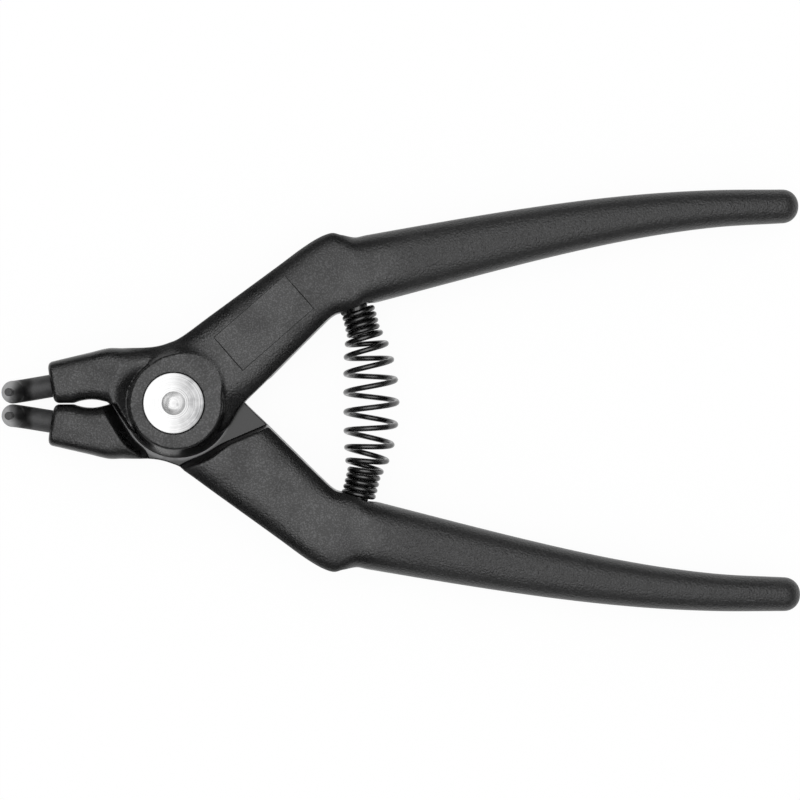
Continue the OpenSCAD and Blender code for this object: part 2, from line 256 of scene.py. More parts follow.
class Graph:
    """Short calls that add nodes to a tree and wire them."""

    def __init__(self, tree: bpy.types.NodeTree) -> None:
        """Keeps the tree that the nodes go into."""
        self.tree = tree

    def put(self, socket: bpy.types.NodeSocket, value: Any) -> None:
        """Wires a socket, or sets it if the value is plain.

        Args:
            socket: The input socket.
            value: An output socket or a plain value.
        """
        if isinstance(value, bpy.types.NodeSocket):
            self.tree.links.new(value, socket)
        else:
            socket.default_value = value

    def feed(self, node: bpy.types.Node, inputs: dict[Any, Any]) -> None:
        """Wires or sets several inputs of a node, by name or number."""
        for key, value in inputs.items():
            self.put(node.inputs[key], value)

    def node(
        self, kind: str, inputs: dict[Any, Any] | None = None, **settings: Any
    ) -> bpy.types.Node:
        """Adds a node.

        Args:
            kind: Blender's name of the node.
            inputs: Values or sockets by input name or number.
            settings: The node's own settings.

        Returns:
            The node.
        """
        made = self.tree.nodes.new(kind)
        for key, value in settings.items():
            setattr(made, key, value)
        self.feed(made, inputs or {})
        return made

    def math(self, operation: str, *operands: Any) -> bpy.types.NodeSocket:
        """Adds a Math node and gives its result."""
        made = self.node("ShaderNodeMath", dict(enumerate(operands)), operation=operation)
        return made.outputs[0]

    def total(self, *values: Any) -> bpy.types.NodeSocket:
        """The sum of several values."""
        return reduce(partial(self.math, "ADD"), values)

    def product(self, *values: Any) -> bpy.types.NodeSocket:
        """The product of several values."""
        return reduce(partial(self.math, "MULTIPLY"), values)

    def hypot(self, a: Any, b: Any) -> bpy.types.NodeSocket:
        """The length of two parts that are square to each other."""
        return self.math("SQRT", self.total(self.product(a, a), self.product(b, b)))

    def ramp(
        self, value: Any, low: float, high: float, to_low: Any = 0.0, to_high: Any = 1.0
    ) -> bpy.types.NodeSocket:
        """A smooth step of a value from one range to another.

        Args:
            value: Socket that is read.
            low: Value at the start of the step.
            high: Value at the end of the step.
            to_low: Result before the step.
            to_high: Result after the step.

        Returns:
            The result socket.
        """
        names = ("Value", "From Min", "From Max", "To Min", "To Max")
        inputs = dict(zip(names, (value, low, high, to_low, to_high)))
        made = self.node("ShaderNodeMapRange", inputs, interpolation_type="SMOOTHSTEP")
        return made.outputs["Result"]

    def spread(self, share: Any, low: Any, high: Any) -> bpy.types.NodeSocket:
        """A value that goes from low to high as a share goes from nought to one."""
        return self.ramp(share, 0.0, 1.0, low, high)

    def noise(
        self, place: Any, scale: Any, detail: float, rough: float = 0.5
    ) -> bpy.types.NodeSocket:
        """Soft noise over a place, from nought to one."""
        inputs = {"Vector": place, "Scale": scale, "Detail": detail, "Roughness": rough}
        return self.node("ShaderNodeTexNoise", inputs).outputs["Fac"]

    def blend(self, share: Any, a: Any, b: Any) -> bpy.types.NodeSocket:
        """A colour between two others.

        Args:
            share: Share of the second colour.
            a: First colour, a socket or three numbers.
            b: Second colour, given in the same way.

        Returns:
            The colour's socket.
        """
        made = self.node("ShaderNodeMix", {"Factor": share}, data_type="RGBA")
        for key, colour in (("A", a), ("B", b)):
            socket = next(s for s in made.inputs if s.name == key and s.type == "RGBA")
            self.put(socket, (*colour, 1.0) if isinstance(colour, tuple) else colour)
        return next(s for s in made.outputs if s.type == "RGBA")


@dataclass
class Effects:
    """Shader groups that several finishes use, built once."""

    grain_size: float = 0.3
    grain_detail: Pair = (2.0, 0.6)
    cell_scale: float = 0.8
    cell_depth: float = 0.45
    fleck_scale: float = 1.3
    fleck_range: Pair = (0.5, 0.6)
    patch_size: float = 10.0
    patch_detail: Pair = (4.0, 0.55)
    patch_range: Pair = (0.35, 0.65)

    def __post_init__(self) -> None:
        """Builds the groups."""
        self.grain = self.build_grain()
        self.smudge = self.build_smudge()

    @staticmethod
    def group(
        name: str, size: float, outputs: Iterable[str]
    ) -> tuple[Graph, bpy.types.NodeSocket, bpy.types.NodeSocket, bpy.types.Node]:
        """Starts a group that takes a place and the size of its pattern.

        Args:
            name: Name of the group.
            size: Usual size of the pattern in millimetres.
            outputs: Names of its number outputs.

        Returns:
            The graph, the place, the scale of the pattern and the output node.
        """
        tree = bpy.data.node_groups.new(name, "ShaderNodeTree")
        tree.interface.new_socket("Place", in_out="INPUT", socket_type="NodeSocketVector")
        given = tree.interface.new_socket("Size", in_out="INPUT", socket_type="NodeSocketFloat")
        given.default_value = size * MM
        for key in outputs:
            tree.interface.new_socket(key, in_out="OUTPUT", socket_type="NodeSocketFloat")
        graph = Graph(tree)
        entry = graph.node("NodeGroupInput").outputs
        scale = graph.math("DIVIDE", 1.0, entry["Size"])
        return graph, entry["Place"], scale, graph.node("NodeGroupOutput")

    def build_grain(self) -> bpy.types.NodeTree:
        """Fine rounded grains, with a height and a few bright flecks.

        Returns:
            The group.
        """
        outputs = ("Height", "Fleck")
        graph, place, scale, end = self.group("fine_grain", self.grain_size, outputs)
        soft = graph.noise(place, scale, *self.grain_detail)
        wide = graph.product(scale, self.cell_scale)
        cells = graph.node("ShaderNodeTexVoronoi", {"Vector": place, "Scale": wide})
        dip = graph.product(cells.outputs["Distance"], self.cell_depth)
        fleck = graph.noise(place, graph.product(scale, self.fleck_scale), 1.0)
        graph.put(end.inputs["Height"], graph.math("SUBTRACT", soft, dip))
        graph.put(end.inputs["Fleck"], graph.ramp(fleck, *self.fleck_range))
        return graph.tree

    def build_smudge(self) -> bpy.types.NodeTree:
        """Broad soft patches from handling.

        Returns:
            The group.
        """
        graph, place, scale, end = self.group("hand_smudge", self.patch_size, ("Patch",))
        cloud = graph.noise(place, scale, *self.patch_detail)
        graph.put(end.inputs["Patch"], graph.ramp(cloud, *self.patch_range))
        return graph.tree


@dataclass(frozen=True)
class Finish:
    """What the finishes share: a material with a shader, a place and the two groups."""

    name: str
    effects: Effects

    def start(self) -> tuple[bpy.types.Material, Graph, bpy.types.Node, bpy.types.NodeSocket]:
        """Starts the material.

        Returns:
            The material, its graph, its shader and the Object coordinates.
        """
        material = bpy.data.materials.new(self.name)
        material.use_nodes = True
        graph = Graph(material.node_tree)
        shader = material.node_tree.nodes["Principled BSDF"]
        return material, graph, shader, graph.node("ShaderNodeTexCoord").outputs["Object"]

    @staticmethod
    def pattern(graph: Graph, group: bpy.types.NodeTree, place: Any, size: float) -> Any:
        """Places a group at a size in millimetres, and gives its outputs."""
        inputs = {"Place": place, "Size": size * MM}
        return graph.node("ShaderNodeGroup", inputs, node_tree=group).outputs

    def grained(self, graph: Graph, place: Any, size: float) -> Any:
        """The outputs of the grain group."""
        return self.pattern(graph, self.effects.grain, place, size)

    def smudged(self, graph: Graph, place: Any, size: float) -> bpy.types.NodeSocket:
        """The patches of the smudge group."""
        return self.pattern(graph, self.effects.smudge, place, size)["Patch"]

    @staticmethod
    def past(
        graph: Graph, value: Any, edges: Sequence[float], before: float = 0.0, after: float = 1.0
    ) -> bpy.types.NodeSocket:
        """A soft step whose start and end are given in millimetres.

        Args:
            graph: Where the nodes go.
            value: Socket that is read, in metres.
            edges: Start and end of the step.
            before: Result before the step.
            after: Result after the step.

        Returns:
            The step's socket.
        """
        low, high = (edge * MM for edge in edges)
        return graph.ramp(value, low, high, before, after)

    def between(self, graph: Graph, value: Any, edges: Band) -> bpy.types.NodeSocket:
        """One inside a band, with soft edges given in millimetres.

        Args:
            graph: Where the nodes go.
            value: Socket that is read, in metres.
            edges: Start and end of the rise, then of the fall.

        Returns:
            The band's socket.
        """
        rise = self.past(graph, value, edges[:2])
        fall = self.past(graph, value, edges[2:], 1.0, 0.0)
        return graph.product(rise, fall)

    @staticmethod
    def raised(graph: Graph, shader: bpy.types.Node, height: Any, distance: float) -> None:
        """Bumps the shader's normal by a height over a distance in millimetres."""
        inputs = {"Height": height, "Strength": 1.0, "Distance": distance * MM}
        graph.put(shader.inputs["Normal"], graph.node("ShaderNodeBump", inputs).outputs["Normal"])


@dataclass(frozen=True)
class ForgedBlack(Finish):
    """Satin black coat with a sandy grain, smooth on the lap face, and bare steel round the hub
    at the lap, which is rubbed wear and also a painted highlight along the hub's lap edge.
    """

    coat: Rgb = (0.005, 0.005, 0.0052)
    grain: Rgb = (0.083, 0.083, 0.084)
    # Bare steel of the ring round the hub, which also paints the highlight along the hub's lap
    # edge.
    steel: Rgb = (0.3, 0.3, 0.305)
    ior: float = 1.58
    grain_size: float = 0.3
    grain_height: float = 0.045
    smudge_size: float = 6.0
    rough: Pair = (0.24, 0.38)
    handled: Rgb = (0.016, 0.016, 0.0162)
    handle_rough: float = 0.4
    handle_grain: float = 2.3
    handle_from: Pair = (27.0, 42.0)
    lap_rough: float = 0.2
    lap_edge: Pair = (0.05, 0.1)
    # Ring of bare steel at the lap round the hub: rubbed wear, and also a painted highlight along
    # the hub's lap edge.
    rub_and_highlight_ring: Band = (8.4, 8.8, 9.1, 9.7)
    rub_and_highlight_fade: Band = (0.0, 0.6, 0.2, 0.45)

    def build(self) -> bpy.types.Material:
        """Makes the material.

        Returns:
            The material.
        """
        material, graph, shader, place = self.start()
        x, y, z = graph.node("ShaderNodeSeparateXYZ", {0: place}).outputs
        off_lap = graph.math("ABSOLUTE", graph.math("SUBTRACT", z, JOINT.lap_t * MM))
        coated = self.past(graph, off_lap, self.lap_edge)
        patch = self.smudged(graph, place, self.smudge_size)
        # Bare steel at the lap round the hub, partly rubbed wear and partly a painted highlight
        # along the hub's lap edge.
        rub_and_highlight = graph.product(
            graph.math("SUBTRACT", 1.0, coated),
            self.between(graph, graph.hypot(x, y), self.rub_and_highlight_ring),
            graph.ramp(patch, *self.rub_and_highlight_fade),
        )
        sand = self.grained(graph, place, self.grain_size)
        bare = graph.product(sand["Fleck"], coated)
        handle = self.past(graph, x, self.handle_from)
        coat = graph.blend(handle, self.coat, self.handled)
        rough = graph.spread(handle, graph.spread(patch, *self.rough), self.handle_rough)
        inputs = {
            "Base Color": graph.blend(rub_and_highlight, graph.blend(bare, coat, self.grain), self.steel),
            "Metallic": graph.math("MAXIMUM", rub_and_highlight, bare),
            "Roughness": graph.spread(coated, self.lap_rough, rough),
            "IOR": self.ior,
        }
        graph.feed(shader, inputs)
        coarse = graph.spread(handle, 1.0, self.handle_grain)
        height = graph.product(sand["Height"], coated, coarse)
        self.raised(graph, shader, height, self.grain_height)
        return material


@dataclass(frozen=True)
class TipSteel(Finish):
    """Dark satin steel, with painted shade inside the bend and a painted highlight on the outer
    side of the bend and on the taper.
    """

    dark: Rgb = (0.065, 0.065, 0.066)
    light: Rgb = (0.105, 0.105, 0.107)
    # Colour of the painted highlight, then colour of the painted shade.
    highlight_tone: Rgb = (0.42, 0.42, 0.425)
    bend_shade_tone: Rgb = (0.012, 0.012, 0.012)
    rough: Pair = (0.52, 0.62)
    metallic: float = 0.5
    smudge_size: float = 1.6
    grain_size: float = 0.16
    grain_height: float = 0.008
    fleck_share: float = 0.4
    patch_share: float = 0.6
    # Painted highlight on the outer side of the bend and up the taper: its strength, where it
    # starts along the rod, and its band of height.
    highlight_share: float = 0.8
    highlight_from: Pair = (25.2, 26.6)
    highlight_rise: Band = (-0.6, 0.8, 5.6, 6.4)
    # Painted shade inside the bend: its strength, where it lies along the rod, and how high it
    # starts.
    bend_shade_share: float = 0.9
    bend_at: Band = (22.9, 23.8, 24.8, 25.7)
    bend_rise: Pair = (0.0, 1.3)

    def build(self) -> bpy.types.Material:
        """Makes the material.

        Returns:
            The material.
        """
        material, graph, shader, place = self.start()
        x, _, z = graph.node("ShaderNodeSeparateXYZ", {0: place}).outputs
        patch = self.smudged(graph, place, self.smudge_size)
        fine = self.grained(graph, place, self.grain_size)
        clouds = graph.product(patch, self.patch_share)
        share = graph.math("MULTIPLY_ADD", fine["Fleck"], self.fleck_share, clouds)
        rise = graph.math("SUBTRACT", z, JOINT.lap_t * MM)
        reach = graph.product(x, -1.0)
        # Painted highlight on the outer, left-facing side of the bend and on the taper.
        outside = self.past(graph, reach, self.highlight_from)
        painted_highlight = graph.product(outside, self.between(graph, rise, self.highlight_rise), self.highlight_share)
        # Painted shade on the inner side of the bend.
        above = self.past(graph, rise, self.bend_rise)
        bend_shade = graph.product(self.between(graph, reach, self.bend_at), above, self.bend_shade_share)
        colour = graph.blend(bend_shade, graph.blend(share, self.dark, self.light), self.bend_shade_tone)
        inputs = {
            "Base Color": graph.blend(painted_highlight, colour, self.highlight_tone),
            "Roughness": graph.spread(patch, *self.rough),
            "Metallic": self.metallic,
        }
        graph.feed(shader, inputs)
        self.raised(graph, shader, fine["Height"], self.grain_height)
        return material


@dataclass(frozen=True)
class TurnedSteel(Finish):
    """Bright turned face with rings round the pivot axis and a peened dome, with painted shade
    that darkens the face towards positive X and a painted dark reflection on the dome right of
    its middle.
    """

    bright: Rgb = (0.71, 0.71, 0.71)
    # Tone of the turned rings, also used for the painted shade and the painted dark reflection.
    shade: Rgb = (0.17, 0.17, 0.174)
    rough: Pair = (0.2, 0.34)
    smudge_size: float = 2.2
    ring_size: float = 0.16
    ring_height: float = 0.006
    ring_detail: Pair = (3.0, 0.7)
    ring_range: Pair = (0.3, 0.7)
    ring_share: float = 1.1
    patch_share: float = 0.3
    # Painted shade that darkens the face towards positive X: where it rises, and how strong it is
    # at each end.
    shade_from: Pair = (-1.5, 4.0)
    shade_range: Pair = (0.2, 1.0)
    dent_size: float = 1.7
    dent_height: float = 0.3
    dent_edge: Pair = (0.3, 1.9)
    # Painted dark reflection on the dome, right of its middle: its place, its soft edge and its
    # patchy fade.
    dome_shade_at: Pair = (0.85, -0.2)
    dome_shade_edge: Pair = (0.1, 0.9)
    dome_shade_fade: Band = (0.0, 0.8, 0.3, 0.65)

    def build(self) -> bpy.types.Material:
        """Makes the material.

        Returns:
            The material.
        """
        material, graph, shader, place = self.start()
        x, y, _ = graph.node("ShaderNodeSeparateXYZ", {0: place}).outputs
        radius = graph.hypot(x, y)
        detail, broken = self.ring_detail
        fine = {"W": radius, "Detail": detail, "Roughness": broken}
        fine["Scale"] = 1 / (self.ring_size * MM)
        rings = graph.node("ShaderNodeTexNoise", fine, noise_dimensions="1D").outputs["Fac"]
        patch = self.smudged(graph, place, self.smudge_size)
        clouds = graph.product(patch, self.patch_share)
        streaks = graph.math("MULTIPLY_ADD", rings, self.ring_share, clouds)
        # Painted shade: the rings and patches darken the face more towards positive X.
        share = graph.product(self.past(graph, x, self.shade_from, *self.shade_range), streaks)
        # Painted dark reflection on the dome, right of its middle.
        aside = [graph.math("SUBTRACT", a, at * MM) for a, at in zip((x, y), self.dome_shade_at)]
        spot = self.past(graph, graph.hypot(*aside), self.dome_shade_edge, 1.0, 0.0)
        dome_shade = graph.product(spot, graph.ramp(patch, *self.dome_shade_fade))
        rings_and_shade = graph.math("MAXIMUM", share, dome_shade)
        inputs = {
            "Base Color": graph.blend(rings_and_shade, self.bright, self.shade),
            "Roughness": graph.ramp(rings, *self.ring_range, *self.rough),
            "Metallic": 1.0,
        }
        graph.feed(shader, inputs)
        dents = graph.noise(place, 1 / (self.dent_size * MM), 0.0)
        depth = self.dent_height / self.ring_height
        peened = self.past(graph, radius, self.dent_edge, depth, 0.0)
        uneven = graph.math("SUBTRACT", dents, 0.5)
        height = graph.math("MULTIPLY_ADD", uneven, peened, rings)
        self.raised(graph, shader, height, self.ring_height)
        return material


@dataclass(frozen=True)
class SpringBlack(Finish):
    """Blackened wire with a film of oil."""

    black: Rgb = (0.085, 0.085, 0.085)
    bare: Rgb = (0.17, 0.17, 0.17)
    rough: Pair = (0.2, 0.34)
    smudge_size: float = 1.2
    grain_size: float = 0.14
    grain_height: float = 0.006
    oil_film: Band = (0.2, 0.9, 0.1, 0.3)
    oil_rough: float = 0.2

    def build(self) -> bpy.types.Material:
        """Makes the material.

        Returns:
            The material.
        """
        material, graph, shader, place = self.start()
        patch = self.smudged(graph, place, self.smudge_size)
        fine = self.grained(graph, place, self.grain_size)
        share = graph.product(patch, fine["Fleck"])
        inputs = {
            "Base Color": graph.blend(share, self.black, self.bare),
            "Roughness": graph.spread(patch, *self.rough),
            "Metallic": 1.0,
            "Coat Weight": graph.ramp(patch, *self.oil_film),
            "Coat Roughness": self.oil_rough,
        }
        graph.feed(shader, inputs)
        self.raised(graph, shader, fine["Height"], self.grain_height)
        return material


class Carving:
    """A solid as distances on a grid, shaped by uniting and cutting with soft edges."""

    MARGIN = np.array([2, 24, 8])

    def __init__(
        self, points: np.ndarray, quads: np.ndarray, fans: np.ndarray, voxel: float, band: int
    ) -> None:
        """Fills the grid from a closed skin.

        Args:
            points: Places in millimetres.
            quads: Quads of the skin.
            fans: Triangles of the skin.
            voxel: Grid step in millimetres.
            band: Steps on each side of the skin that keep their distance.
        """
        self.voxel = voxel
        self.band = band
        self.scale = vdb.createLinearTransform(voxelSize=voxel)
        grid = vdb.FloatGrid.createLevelSetFromPolygons(
            points.astype(np.float32),
            triangles=fans.astype(np.uint32),
            quads=quads.astype(np.uint32),
            transform=self.scale,
            halfWidth=band,
        )
        low, high = (np.array(corner) for corner in grid.evalActiveVoxelBoundingBox())
        self.start = low - self.MARGIN
        self.values = np.zeros(high - low + 1 + 2 * self.MARGIN, np.float32)
        grid.copyToArray(self.values, ijk=self.start.tolist())

    def window(
        self, low: Sequence[float], high: Sequence[float]
    ) -> tuple[Any, np.ndarray, np.ndarray, np.ndarray]:
        """Part of the grid, with the coordinates of its steps.

        Args:
            low: Lowest corner in millimetres.
            high: Highest corner in millimetres.

        Returns:
            The slices, then x, y and z as arrays that broadcast.
        """
        first = np.floor(np.array(low) / self.voxel).astype(int) - self.start
        last = np.ceil(np.array(high) / self.voxel).astype(int) - self.start
        first, last = np.maximum(first, 0), np.minimum(last, self.values.shape)
        steps = [np.arange(a, b) + s for a, b, s in zip(first, last, self.start)]
        axes = [(step * self.voxel).astype(np.float32) for step in steps]
        where = tuple(slice(a, b) for a, b in zip(first, last))
        return where, *np.meshgrid(*axes, indexing="ij", sparse=True)

    def unite(self, where: Any, distance: np.ndarray, fillet: Any) -> None:
        """Adds a solid, with a fillet where it meets what is there."""
        self.values[where] = soft_min(self.values[where], distance, fillet)

    def cut(self, where: Any, distance: np.ndarray, rounding: Any) -> None:
        """Takes a solid away, with a rounded edge."""
        self.values[where] = soft_max(self.values[where], -distance, rounding)

    def surface(self) -> tuple[np.ndarray, np.ndarray]:
        """The solid's surface.

        Returns:
            Points in millimetres and quads.
        """
        grid = vdb.FloatGrid(self.band * self.voxel)
        grid.transform = self.scale
        grid.copyFromArray(self.values, ijk=self.start.tolist())
        return grid.convertToQuads(0.0)


@dataclass
class LeverPair:
    """The two forged levers, of which the rear one is the front one turned over."""

    finish: bpy.types.Material
    # The jaw from its nose to its root, and the lens between the jaws.
    jaw_len: float = 20.0
    jaw_root_h: float = 9.0
    jaw_nose_h: float = 6.9
    jaw_t: float = 8.4
    nose_t: float = 7.4
    nose_round: float = 0.8
    jaw_gap: float = 0.2
    jaw_root_land: float = 1.8
    relief_len: float = 5.8
    relief_h: float = 0.65
    # The arm, and the elbow with its knuckle.
    arm_angle: float = 40.4
    arm_len: float = 26.0
    arm_root_w: float = 16.0
    arm_end_w: float = 12.0
    arm_t: float = 9.1
    arm_start: float = 8.0
    elbow_len: float = 11.0
    knuckle_rise: float = 4.5
    elbow_drop: float = 3.4
    # The curved handle and its rounded end.
    handle_len: float = 71.2
    handle_rise: float = 10.2
    handle_slope: float = 12.3
    handle_root_w: float = 11.2
    handle_end_w: float = 5.5
    handle_root_t: float = 8.8
    handle_end_t: float = 5.8
    handle_fall: float = 1.3
    handle_ease: float = 1.6
    root_pull: float = 0.42
    end_pull: float = 0.31
    end_flat: float = 0.15
    end_steps: int = 12
    # The sections that turn from the jaw to the arm.
    hub_swells: Pair = (0.9, 0.4)
    hub_dip: float = 3.0
    swell_from: float = 198.0
    swell_lag: float = 68.4
    saddle: tuple[float, float, float, int] = (-8.4, -1.0, 0.75, 4)
    # How square the sections are, and how far their edges trim them.
    jaw_square: float = 4.4
    arm_square: float = 3.0
    arm_trim: float = 1.15
    elbow_square: float = 3.8
    elbow_trim: float = 1.08
    handle_square: float = 3.0
    end_square: float = 2.3
    # The recess of the lap, with its drafted shoulders.
    jaw_draft: float = 17.0
    arm_draft: float = 7.0
    bay_draft: float = 14.0
    recess_jaw_at: float = 148.0
    recess_open_at: float = 123.0
    recess_end_turn: float = 37.0
    recess_corner: float = 0.6
    lap_corner: float = 0.2
    bay_r: float = 9.35
    bay_tip: Pair = (8.68, 55.2)
    bay_round: float = 0.8
    shoulder_rounds: Pair = (0.2, 0.4)
    shoulder_from: Pair = (1.0, 3.0)
    # The straight edge from the jaw gap to the hub.
    edge_reach: float = 8.85
    edge_draft: float = 14.0
    edge_round: float = 0.15
    # The hub and its boss.
    hub_at: Pair = (0.33, 0.0)
    hub_foot_r: float = 9.0
    boss_top_r: float = 7.5
    boss_edge: float = 0.45
    boss_fillets: Pair = (0.05, 2.4)
    smooth_at: float = 65.0
    smooth_fade: Pair = (2.0, 0.9)
    face_round: float = 0.1
    lap_fillet: float = 0.12
    fillet_from: Pair = (1.0, 3.4)
    # The slopes of the jaw's root and the arm's flank beside the boss.
    root_slope: float = 31.0
    slope_r: float = 10.0
    slope_lift: float = 2.0
    slope_fade: Pair = (100.0, 165.0)
    slope_round: float = 0.7
    flank_slope: float = 26.0
    flank_from: Pair = (4.0, 7.0)
    flank_run: Pair = (7.0, 15.0)
    # The rivet's bore and the socket of the tip.
    bore_play: float = 0.1
    bore_round: float = 0.06
    rod_r: float = 1.87
    socket_len: float = 8.0
    mouth: Pair = (0.3, 0.28)
    mouth_round: float = 0.3
    # The spring pad and the seat of its stud.
    pad_len: float = 6.0
    pad_slope: float = 17.0
    pad_steps: int = 3
    seat_depth: float = 0.4
    seat_r: float = 3.07
    seat_round: float = 0.2
    stud_root_r: float = 1.12
    stud_root_len: float = 4.52
    # The bare field on the front arm.
    field_size: Pair = (15.1, 7.0)
    field_at: Pair = (14.6, 12.9)
    field_turn: float = 40.9
    field_depth: float = 0.4
    field_flare: Pair = (1.0, 0.35)
    # How finely the levers are drawn.
    sides: int = 96
    steps: int = 12
    voxel: float = 0.15
    band: int = 10
    most_triangles: int = 188000
    sharp: float = 28.0
    # The part of the grid that each cut works in.
    slope_box: Box = ((-13, -10, 0.5), (4, 13, 7))
    flank_box: Box = ((0, -9, 0.5), (16, 9, 7))
    hub_box: Box = ((-13, -12, -6), (14, 14, 7))
    lap_box: Box = ((-17, -13, -8), (26, 16, 4))
    edge_box: Box = ((-12, -9, -6), (-4, 2, 6))
    bore_box: Box = ((-7, -7, -2), (7, 7, 7))
    socket_box: Box = ((-24, -1, -4), (-10, 8, 4))
    seat_reach: Pair = (7, 6)

    def __post_init__(self) -> None:
        """Works out the frames of the arm, the handle and the spring pad."""
        self.arm_along = polar(1, self.arm_angle)
        self.arm_across = polar(1, self.arm_angle + 90)
        self.arm_taper = (self.arm_root_w - self.arm_end_w) / 2 / self.arm_len
        self.handle_root = self.on_arm(self.arm_len + self.elbow_len, -self.elbow_drop)
        self.handle_across = polar(1, self.handle_slope + 90)
        self.end_round = min(self.handle_end_w, self.handle_end_t) / 2 - self.end_flat
        run = np.array([self.handle_len - self.end_round, self.handle_rise])
        self.handle_tip = self.handle_root + run
        self.pad_along = polar(1, self.pad_slope)
        self.pad_axis = polar(1, self.pad_slope - 90)
        self.pad_from = self.handle_root - self.handle_across * self.handle_root_w / 2
        spot = self.pad_from - self.pad_along * self.pad_len / self.pad_steps
        self.seat = spot - self.pad_axis * self.seat_depth

    def on_arm(self, along_arm: float, off: float) -> np.ndarray:
        """A point of the arm's own frame."""
        return self.arm_along * along_arm + self.arm_across * off

    def arm_half(self, along_arm: float) -> float:
        """Half the width of the arm at a distance from the pivot."""
        return self.arm_root_w / 2 - self.arm_taper * along_arm

    @staticmethod
    def section(
        outer: np.ndarray, inner: np.ndarray, half_t: float, square: float, trim: float = 1.0
    ) -> np.ndarray:
        """One section as a row of seven numbers, in the order of the arguments.

        Args:
            outer: Outer edge in the lap plane.
            inner: Inner edge in the lap plane.
            half_t: Half the thickness.
            square: How square the corners are.
            trim: How far the section runs past its edges before they trim it.

        Returns:
            The row.
        """
        return np.array([*outer, *inner, half_t, square, trim])

    def jaw_rows(self, spans: int = 3) -> list[np.ndarray]:
        """Sections from the nose to the root of the jaw.

        Args:
            spans: Spaces between the sections.

        Returns:
            The sections.
        """
        slant = math.tan(math.radians(JOINT.rod_slant))
        rod_y = JOINT.tip_y + JOINT.rod_out * slant
        nose_x = self.nose_round - self.jaw_len
        root_x = -(JOINT.recess_r + self.jaw_root_land)
        low = self.jaw_gap / 2
        edges = [np.array([nose_x - (y - rod_y) * slant, y]) for y in (self.jaw_nose_h, low)]
        nose = self.section(*edges, self.nose_t / 2, self.jaw_square)
        edges = [np.array([root_x, y]) for y in (self.jaw_root_h, low)]
        root = self.section(*edges, self.jaw_t / 2, self.jaw_square)
        return [mix(nose, root, k / spans) for k in range(spans)] + [root]

    def hub_rows(self, spans: int = 4) -> list[np.ndarray]:
        """Sections fanned round the pivot from the jaw to the arm.

        Args:
            spans: Spaces between the sections.

        Returns:
            The sections.
        """
        start, stop, rise, power = self.saddle
        swell_to = 360 + self.arm_angle - self.swell_lag
        half_t = (self.jaw_t + self.arm_t) / 4
        rows = []
        for t in np.linspace(0, 1, spans + 1):
            outer = np.array([mix(start, stop, t), self.jaw_root_h + rise * t**power])
            swell = JOINT.hub_r + mix(*self.hub_swells, t)
            reach = swell - self.hub_dip * math.sin(math.pi * t)
            inner = polar(reach, mix(self.swell_from, swell_to, t))
            square = mix(self.jaw_square, self.arm_square, t)
            rows.append(self.section(outer, inner, half_t, square, mix(1.0, self.arm_trim, t)))
        return rows

    def arm_rows(self, spans: int = 3) -> list[np.ndarray]:
        """Sections square to the arm's centre line.

        Args:
            spans: Spaces between the sections.

        Returns:
            The sections.
        """
        rows = []
        for d in np.linspace(self.arm_start, self.arm_len, spans + 1):
            half = self.arm_half(d)
            edges = self.on_arm(d, half), self.on_arm(d, -half)
            rows.append(self.section(*edges, self.arm_t / 2, self.arm_square, self.arm_trim))
        return rows

    def elbow_rows(self) -> list[np.ndarray]:
        """Sections with the knuckle outside and the spring pad inside.

        Returns:
            The sections.
        """
        top = self.handle_root + self.handle_across * self.handle_root_w / 2
        square = mix(self.elbow_square, self.handle_square, 0.5)
        knuckle = self.on_arm(self.arm_len + self.elbow_len, self.knuckle_rise)
        foot = self.arm_len + self.elbow_len * 2 / 3
        outer = [self.on_arm(foot, self.arm_half(foot)), knuckle, mix(knuckle, top, 0.5)]
        rows = []
        for k, edge in enumerate(outer):
            back = self.pad_along * self.pad_len * (self.pad_steps - k) / self.pad_steps
            half_t = mix(self.arm_t, self.handle_root_t, k / self.pad_steps) / 2
            inner = self.pad_from - back
            rows.append(self.section(edge, inner, half_t, self.elbow_square, self.elbow_trim))
        return rows + [self.section(top, self.pad_from, self.handle_root_t / 2, square)]

    def handle_at(self, t: float) -> np.ndarray:
        """A point of the handle's curved centre line.

        Args:
            t: Nought at the elbow, one at the end.

        Returns:
            The point in the lap plane.
        """
        a, d = self.handle_root, self.handle_tip
        b = a + polar(self.root_pull * self.handle_len, self.handle_slope)
        c = d - np.array([self.end_pull * self.handle_len, 0.0])
        s = 1 - t
        return a * s**3 + 3 * b * t * s * s + 3 * c * t * t * s + d * t**3

    def handle_rows(self, spans: int = 10, near: float = 0.01) -> list[np.ndarray]:
        """Sections square to the handle's curved centre line.

        Args:
            spans: Spaces between the sections.
            near: Step on each side that gives the direction of the line.

        Returns:
            The sections.
        """
        rows = []
        for t in np.linspace(0, 1, spans + 1)[1:] ** self.handle_ease:
            ahead = self.handle_at(t + near) - self.handle_at(t - near)
            across = np.array([-ahead[1], ahead[0]]) / np.linalg.norm(ahead)
            fall = (1 - t) ** self.handle_fall
            half = across * mix(self.handle_end_w, self.handle_root_w, fall) / 2
            centre = self.handle_at(t)
            half_t = mix(self.handle_root_t, self.handle_end_t, t) / 2
            square = mix(self.handle_square, self.end_square, t)
            rows.append(self.section(centre + half, centre - half, half_t, square))
        return rows

    def smoothed(self, rows: list[np.ndarray]) -> list[np.ndarray]:
        """Sections on a smooth curve through the given ones.

        Args:
            rows: The given sections.

        Returns:
            The given sections with others between them.
        """
        ends = [2 * rows[0] - rows[1], *rows, 2 * rows[-1] - rows[-2]]
        fine = []
        for a, b, c, d in zip(ends, ends[1:], ends[2:], ends[3:]):
            for t in np.arange(self.steps) / self.steps:
                bend = (2 * a - 5 * b + 4 * c - d) * t * t + (3 * b - a - 3 * c + d) * t**3
                fine.append(b + (c - a) * t / 2 + bend / 2)
        return fine + [rows[-1]]

